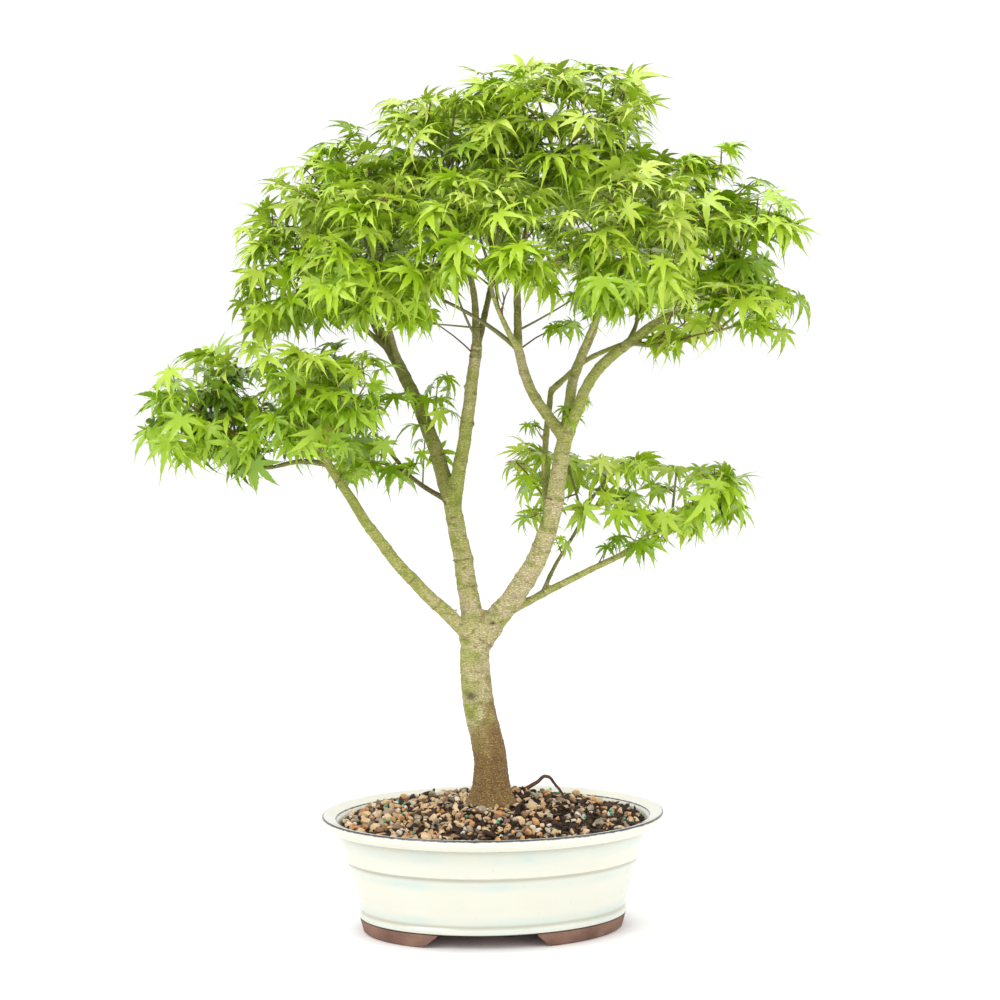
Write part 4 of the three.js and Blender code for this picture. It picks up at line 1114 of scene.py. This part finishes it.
def leaf_shape(chance):
    """A leaf with its foot at the origin, its middle lobe one long along y, and its upper side up."""
    fold = chance.uniform(0.18, 0.75)
    droop = chance.uniform(0.06, 0.46)
    slim = chance.uniform(0.76, 1.04)
    lobes = []
    for degrees, reach in LOBES:
        angle = math.radians(degrees + chance.uniform(-6, 6))
        lobes.append((angle, reach * chance.uniform(0.88, 1.06), chance.uniform(-0.13, 0.13)))
    sags = [droop * chance.uniform(0.5, 1.6) for _ in LOBES]
    points = [(0, 0, 0)]
    faces = []

    def sag(away, i):
        return -sags[min(i, len(sags) - 1)] * away**2 * (0.5 + 0.9 * away**2)

    def sinus(angle, away, i):
        return (away * math.sin(angle), away * math.cos(angle), sag(away, i) + 0.12 * away * fold)

    gaps = [sinus(lobes[0][0] - math.radians(34), LEAF_FOOT, 0)]
    for i, ((a, near_reach, _), (b, far_reach, _)) in enumerate(zip(lobes, lobes[1:])):
        gaps.append(sinus((a + b) / 2, SINUS * (near_reach + far_reach) / 2, i))
    gaps.append(sinus(lobes[-1][0] + math.radians(34), LEAF_FOOT, len(lobes) - 1))
    gap_first = len(points)
    points.extend(gaps)
    for i, (angle, reach, bend) in enumerate(lobes):
        along = np.array((math.sin(angle), math.cos(angle)))
        across = np.array((math.cos(angle), -math.sin(angle)))
        edge = LOBE_EDGE if reach > 0.5 else LOBE_EDGE[1::2]
        first = len(points)
        base = 0.27 * reach
        points.append((*(along * base), sag(base, i) - 0.02 * fold))
        for share, half in edge:
            away = share * reach
            middle = along * away + across * bend * reach * share**2
            for hand in (-1, 0, 1):
                spot = middle + across * hand * half * slim * reach
                points.append((*spot, sag(away, i) + abs(hand) * fold * half * slim * reach))
        tip = along * reach + across * bend * reach
        points.append((*tip, sag(reach, i) - 0.04))
        left, right = gap_first + i, gap_first + i + 1
        faces += [(0, left, first), (0, first, right), (left, first + 1, first)]
        faces += [(first + 1, first + 2, first), (first, first + 2, first + 3), (first, first + 3, right)]
        for k in range(len(edge) - 1):
            a = first + 1 + 3 * k
            faces += [(a, a + 3, a + 4), (a, a + 4, a + 1), (a + 1, a + 4, a + 5), (a + 1, a + 5, a + 2)]
        a = first + 1 + 3 * (len(edge) - 1)
        faces += [(a, a + 3, a + 1), (a + 1, a + 3, a + 2)]
    return np.array(points, float), np.array(faces)[:, ::-1]


def walls_of(name):
    """The planes that part a mass from each other mass, as rows of a normal and its distance."""
    _, centre, half, _ = MASSES[name]
    walls = []
    for other, (_, its_centre, its_half, _) in MASSES.items():
        if other == name:
            continue
        away = np.subtract(its_centre, centre)
        distance = np.linalg.norm(away)
        normal = away / distance
        mine = np.linalg.norm(np.multiply(half, normal))
        theirs = np.linalg.norm(np.multiply(its_half, normal))
        walls.append((*normal, distance * mine / (mine + theirs) - GAP))
    return np.array(walls)


def twig_ends(name, draw):
    """Where the twigs of a mass end, by the golden spiral about the way that leads out of the crown."""
    _, centre, half, leaves = MASSES[name]
    walls = walls_of(name)
    out = np.subtract(centre, CROWN_HEART)
    out = out / np.linalg.norm(out)
    out[2] = max(out[2], TWIG_RISE)
    out /= np.linalg.norm(out)
    across = np.array((-out[1], out[0], 0)) / math.hypot(out[0], out[1])
    over = np.cross(out, across)
    count = round(leaves / LEAVES_A_TWIG)
    ends = []
    for i in range(count):
        lean = 1 - TWIG_FAN * (i + 0.4) / count
        turn = i * GOLDEN_ANGLE + 0.5 * draw()
        spread = math.sqrt(max(0, 1 - lean * lean))
        outward = out * lean + across * spread * math.cos(turn) + over * spread * math.sin(turn)
        skin_point = outward * half
        toward = walls[:, :3] @ skin_point
        opened = min([1, *(walls[:, 3] / np.maximum(toward, 1e-6))[toward > walls[:, 3]]])
        end = skin_point * opened - outward * np.multiply(TWIG_ROOM, BIG_LEAF)
        end[2] = max(end[2], TWIG_LOWEST * BIG_LEAF - half[2])
        ends.append(end + centre)
    return ends


def spray_spots(name, chance):
    """Places for the sprays of a mass, spread evenly through it and thicker towards its skin."""
    _, centre, half, _ = MASSES[name]
    walls = walls_of(name)
    inner = np.subtract(half, SPRAY_ROOM)
    floor = SPRAY_FLOOR + BARE_BELOW.get(name, 0) - half[2]
    count = round(8 * np.prod(inner) * 0.8 / SPRAY_VOLUME * THIN_MASSES.get(name, 1))
    spots = []
    while len(spots) < count:
        best, best_room = None, -1
        for _ in range(SPRAY_TRIES):
            share = np.array([chance.uniform(-1, 1) for _ in range(3)])
            if (np.abs(share) ** BLOCK_POWER).sum() > 1:
                continue
            away = share * inner
            if away[2] < floor or (walls[:, :3] @ away > walls[:, 3] + 6).any():
                continue
            room = min([np.linalg.norm(away - spot) for spot in spots] + [60])
            room *= 0.75 + 0.25 * np.linalg.norm(share)
            if room > best_room:
                best, best_room = away, room
        if best is not None:
            spots.append(best)
    return [spot + centre for spot in spots]


def is_open(spot):
    """Whether a spot lies in an opening, seen from where the camera stands."""
    eye = np.array(CAMERA_PLACE)
    seen = eye + (spot - eye) * eye[1] / (eye[1] - spot[1])
    return any(math.hypot(seen[0] - across, seen[2] - up) < radius for across, up, radius in OPENINGS)


def straight_parts(line, steps):
    """Points along a line, which cut it into a number of straight parts."""
    return [line(t) for t in np.linspace(0, 1, steps + 1)]


def hang_leaf(leaves, stalks, node, outward, chance, green, size):
    """One leaf on its stalk. outward is the level direction that it hangs towards."""
    level = math.atan2(outward[1], outward[0]) + math.radians(chance.gauss(0, LEAF_TURN))
    steep = LEAF_SLOPE - FLATTER_ON_TOP * outward[2] + chance.gauss(0, SLOPE_SPREAD)
    slope = math.radians(max(SLOPE_LIMITS[0], min(SLOPE_LIMITS[1], steep)))
    out = np.array((math.cos(level), math.sin(level), 0))
    ahead = out * math.cos(slope) + np.array((0, 0, -math.sin(slope)))
    up = out * math.sin(slope) + np.array((0, 0, math.cos(slope)))
    roll = math.radians(chance.gauss(0, LEAF_ROLL))
    side = np.cross(ahead, up)
    up = up * math.cos(roll) + side * math.sin(roll)
    side = np.cross(ahead, up)
    stalk = chance.uniform(*STALK_LENGTH) * size / LEAF_LOBE[1]
    lift = 0.35 * chance.random()
    foot = node + (out * 0.8 + np.array((0, 0, 0.5 * lift))) * stalk
    arch = node + (out * 0.45 + np.array((0, 0, lift))) * stalk
    stalk_points = straight_parts(bent_line(node, arch, foot), 2)
    stalks.add(*tube(stalk_points, [STALK_RADIUS, STALK_RADIUS * 0.8, STALK_RADIUS * 0.7], 3))
    shape, faces = leaf_shapes[chance.randrange(len(leaf_shapes))]
    turn = np.stack([side, ahead, up])
    leaves.add(shape * size @ turn + foot, faces, green)


chance = random.Random("leaves")
leaf_shapes = [leaf_shape(chance) for _ in range(LEAF_SHAPES)]

# Leaves: thin and supple, with a soft sheen from their wax. Each spray's green is plain.
leaf_greens = [
    Paint(f"maple_leaf_colour_{i + 1}", {"Base Color": colour, "Roughness": 0.3, "IOR": 1.52}).material
    for i, colour in enumerate([*GREENS, BRONZE, WITHERED])
]

# Stalks are pale green, and the finest twigs red-brown
stalk_green = Paint("pale_green_stalk", {"Base Color": "#a9b45c", "Roughness": 0.5}).material
twig_brown = Paint("red_brown_twig_bark", {"Base Color": "#6b4a35", "Roughness": 0.6}).material
twig_olive = Paint("olive_twig_bark", {"Base Color": "#7f7c48", "Roughness": 0.6}).material


def dress_spray(leaves, twigs, stalks, spot, start, outward, chance, vigour_and_light, count, scale=1):
    """A fine twig from start to spot, and pairs of leaves about its end."""
    bend = (start + spot) / 2 + np.array((0, 0, 0.12 * np.linalg.norm(spot - start)))
    line = bent_line(start, bend, spot)
    steps = max(2, int(np.linalg.norm(spot - start) / 12))
    radii = np.linspace(*FINE_TWIG_RADIUS, steps + 1)
    twigs.add(*tube(straight_parts(line, steps), radii, 4), 1 if chance.random() < 0.6 else 0)
    green = max(0, min(len(GREENS) - 1, round(vigour_and_light * 4.2 + 0.9 + chance.gauss(0, 0.8))))
    reach = np.linalg.norm(spot - start)
    for k in range(count):
        back = (k // 2) * PAIR_SPACING / max(reach, 2 * PAIR_SPACING)
        node = line(max(0.05, 1 - back))
        turn = math.radians(PAIR_ANGLE if k % 2 else -PAIR_ANGLE) * (1 if k else 0.3)
        level_x = outward[0] * math.cos(turn) - outward[1] * math.sin(turn)
        level_y = outward[0] * math.sin(turn) + outward[1] * math.cos(turn)
        swung = np.array((level_x, level_y, outward[2]))
        size = chance.uniform(*LEAF_LOBE) * (0.75 if k == 0 and chance.random() < 0.3 else 1) * scale
        shade = max(0, min(len(GREENS) - 1, green + chance.choice((-1, 0, 0, 0, 1))))
        if chance.random() < OFF_COLOUR_SHARE:
            shade = len(GREENS) + (vigour_and_light < 0.62)
            size *= 0.7
        hang_leaf(leaves, stalks, node, swung, chance, shade, size)


for index, (name, (limb, centre, half, _)) in enumerate(MASSES.items()):
    draw = drawing(index + 1)
    chance = random.Random(name)
    leaves, twigs, stalks = Gathered(), Gathered(), Gathered()

    # The stem of the mass, and its twigs
    line = lines[limb]
    tip = line(1)
    hub = np.array(centre) + (0, 0, HUB_DROP * half[2])
    bend = tip + direction(line, 1) * STEM_BEND * np.linalg.norm(hub - tip)
    stem = bent_line(tip, bend, hub)
    thick = LIMBS[limb][4][1]
    stem_points = straight_parts(stem, 8)
    twigs.add(*tube(stem_points, np.linspace(thick, STEM_TIP_RADIUS, 9), 7), 0)
    joints = stem_points[2:]
    ends = twig_ends(name, draw)
    for i, end in enumerate(ends):
        if is_open(end):
            continue
        start = stem(1 - STEM_WITH_TWIGS * i / len(ends))
        length = np.linalg.norm(end - start)
        bow = (start + end) / 2 + np.array((0, 0, LONG_TWIG_BOW * length if length > LONG_TWIG else 0))
        twig = bent_line(start, bow, end)
        points = straight_parts(twig, 6)
        twigs.add(*tube(points, np.linspace(*TWIG_RADIUS, 7), 5), 0)
        joints += points[2:]

    # The sprays, from the heart of the mass outward, each on a fine twig from the nearest wood
    heart = np.array(CROWN_HEART)
    spots = spray_spots(name, chance)
    spots.sort(key=lambda spot: np.linalg.norm(spot - hub))
    spots += [np.array(spot, float) for spot in OUTLYING.get(name, [])]
    for number, spot in enumerate(spots):
        if is_open(spot):
            continue
        chance = random.Random(f"{name} {number}")
        places = np.array(joints)
        cost = np.linalg.norm(places - spot, axis=1) + 0.25 * np.linalg.norm(places - hub, axis=1)
        start = places[int(np.argmin(cost))]
        outward = 0.55 * (spot - heart) / np.linalg.norm(spot - heart)
        outward += 0.75 * (spot - centre) / np.array(half)
        outward /= max(np.linalg.norm(outward), 0.3)
        depth = np.linalg.norm((spot - centre) / np.array(half))
        # Sprays high on a mass and near its skin get lighter, yellower greens: partly young growth, partly
        # painted light, with the darker greens inside as painted shade
        vigour_and_light = 0.42 + 0.2 * outward[2] + 0.2 * depth + FRESH_MASSES.get(name, 0)
        count = chance.randint(*LEAVES_A_SPRAY)
        dress_spray(leaves, twigs, stalks, spot, start, outward, chance, vigour_and_light, count)
        middle = (start + spot) / 2 + np.array((0, 0, 0.06 * np.linalg.norm(spot - start)))
        joints += [middle, spot]

    leaf_piece = leaves.piece(name + "_leaves", TREE_PLACE, leaf_greens)
    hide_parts(name)
    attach(leaf_piece, "root")
    twig_piece = twigs.piece(name + "_twigs", TREE_PLACE, [twig_olive, twig_brown])
    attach(twig_piece, "root")
    stalk_piece = stalks.piece(name + "_stalks", TREE_PLACE, [stalk_green])
    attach(stalk_piece, "root")


# The stray shoots. A few short shoots have grown straight from the boughs below the crown, with a few
# smaller leaves each, and thin bare twigs cross under the crown.

# Each shoot: its limb, the share of the limb's length, where it ends, how many leaves, and their scale
SHOOTS = [
    ("bough_middle_left", 0.3, (-47, 26, 466), 9, 0.85),
    ("bough_right_upright", 0.16, (70, 14, 447), 6, 0.66),
    ("bough_left_slim", 0.86, (-116, 30, 394), 9, 0.85),
    ("bough_left_slim", 0.55, (-59, 40, 411), 6, 0.8),
    ("bough_right_slim", 0.2, (20, 40, 392), 9, 0.8),
    ("bough_right_slim", 0.7, (31, 38, 426), 3, 0.5),
    ("bough_right_slim", 0.12, (31, 26, 346), 5, 0.6),
    ("bough_right_inward", 0.95, (62, -14, 512), 4, 0.7),
    ("bough_right_outer", 0.9, (142, -18, 492), 5, 0.8),
    ("bough_middle_right", 0.93, (-62, -20, 519), 3, 0.75),
    ("bough_right_low_upper", 0.7, (52, 22, 330), 4, 0.6),
    ("bough_left_low", 0.93, (-118, -20, 388), 5, 0.7),
    ("bough_right_low_outer", 0.5, (138, 38, 326), 7, 0.85),
    ("bough_right_low", 0.8, (104, 26, 330), 4, 0.7),
]
SHOOT_VIGOUR = 0.35
# Bare branchlets under the crown: where each starts, the point that bends it, where it ends, and its radius
BARE_BRANCHES = [
    ((20, -24, 491), (-4, -30, 514), (-40, -36, 531), 2.3),
    ((-10, -6, 508), (-36, -18, 511), (-64, -26, 513), 1.0),
    ((20, -8, 506), (40, -16, 516), (64, -22, 531), 1.1),
    ((-14, -8, 500), (-22, -14, 512), (-30, -22, 536), 1.3),
    ((119, -26, 500), (146, -34, 503), (175, -40, 511), 1.2),
]
BARE_TWIGS = 46
BARE_LENGTH = (22, 58)
BARE_RADIUS = (0.95, 0.45)
BARE_LOWEST = 492
chance = random.Random("shoots")
leaves, twigs, stalks = Gathered(), Gathered(), Gathered()
for limb, share, spot, count, scale in SHOOTS:
    start, spot = lines[limb](share), np.array(spot, float)
    outward = (spot - start) * (1, 1, 0) + (0, -9, 0)
    outward /= np.linalg.norm(outward)
    dress_spray(leaves, twigs, stalks, spot, start, outward, chance, SHOOT_VIGOUR, count, scale)
for start, bend, end, radius in BARE_BRANCHES:
    branch_points = straight_parts(bent_line(start, bend, end), 6)
    twigs.add(*tube(branch_points, np.linspace(radius, 0.6 * radius, 7), 6), 0)
high_limbs = [name for name in LIMBS if name.startswith("branch")]
for _ in range(BARE_TWIGS):
    line = lines[chance.choice(high_limbs)]
    share = chance.uniform(0.45, 0.97)
    start = line(share)
    if start[2] < BARE_LOWEST:
        continue
    away = start - CROWN_HEART
    away = away / np.linalg.norm(away) + [chance.gauss(0, 0.7) for _ in range(3)]
    away[2] = abs(away[2]) + 0.25
    end = start + away / np.linalg.norm(away) * chance.uniform(*BARE_LENGTH)
    bend = (start + end) / 2 + [chance.gauss(0, 3) for _ in range(3)]
    twigs.add(*tube(straight_parts(bent_line(start, bend, end), 4), np.linspace(*BARE_RADIUS, 5), 4), 1)
for kind, heap, materials, finish in (
    ("leaves", leaves, leaf_greens, "foliage"), ("twigs", twigs, [twig_olive, twig_brown], "bark"),
    ("stalks", stalks, [stalk_green], "foliage"),
):
    stray = heap.piece("stray_shoot_" + kind, TREE_PLACE, materials)
    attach(stray, "root")
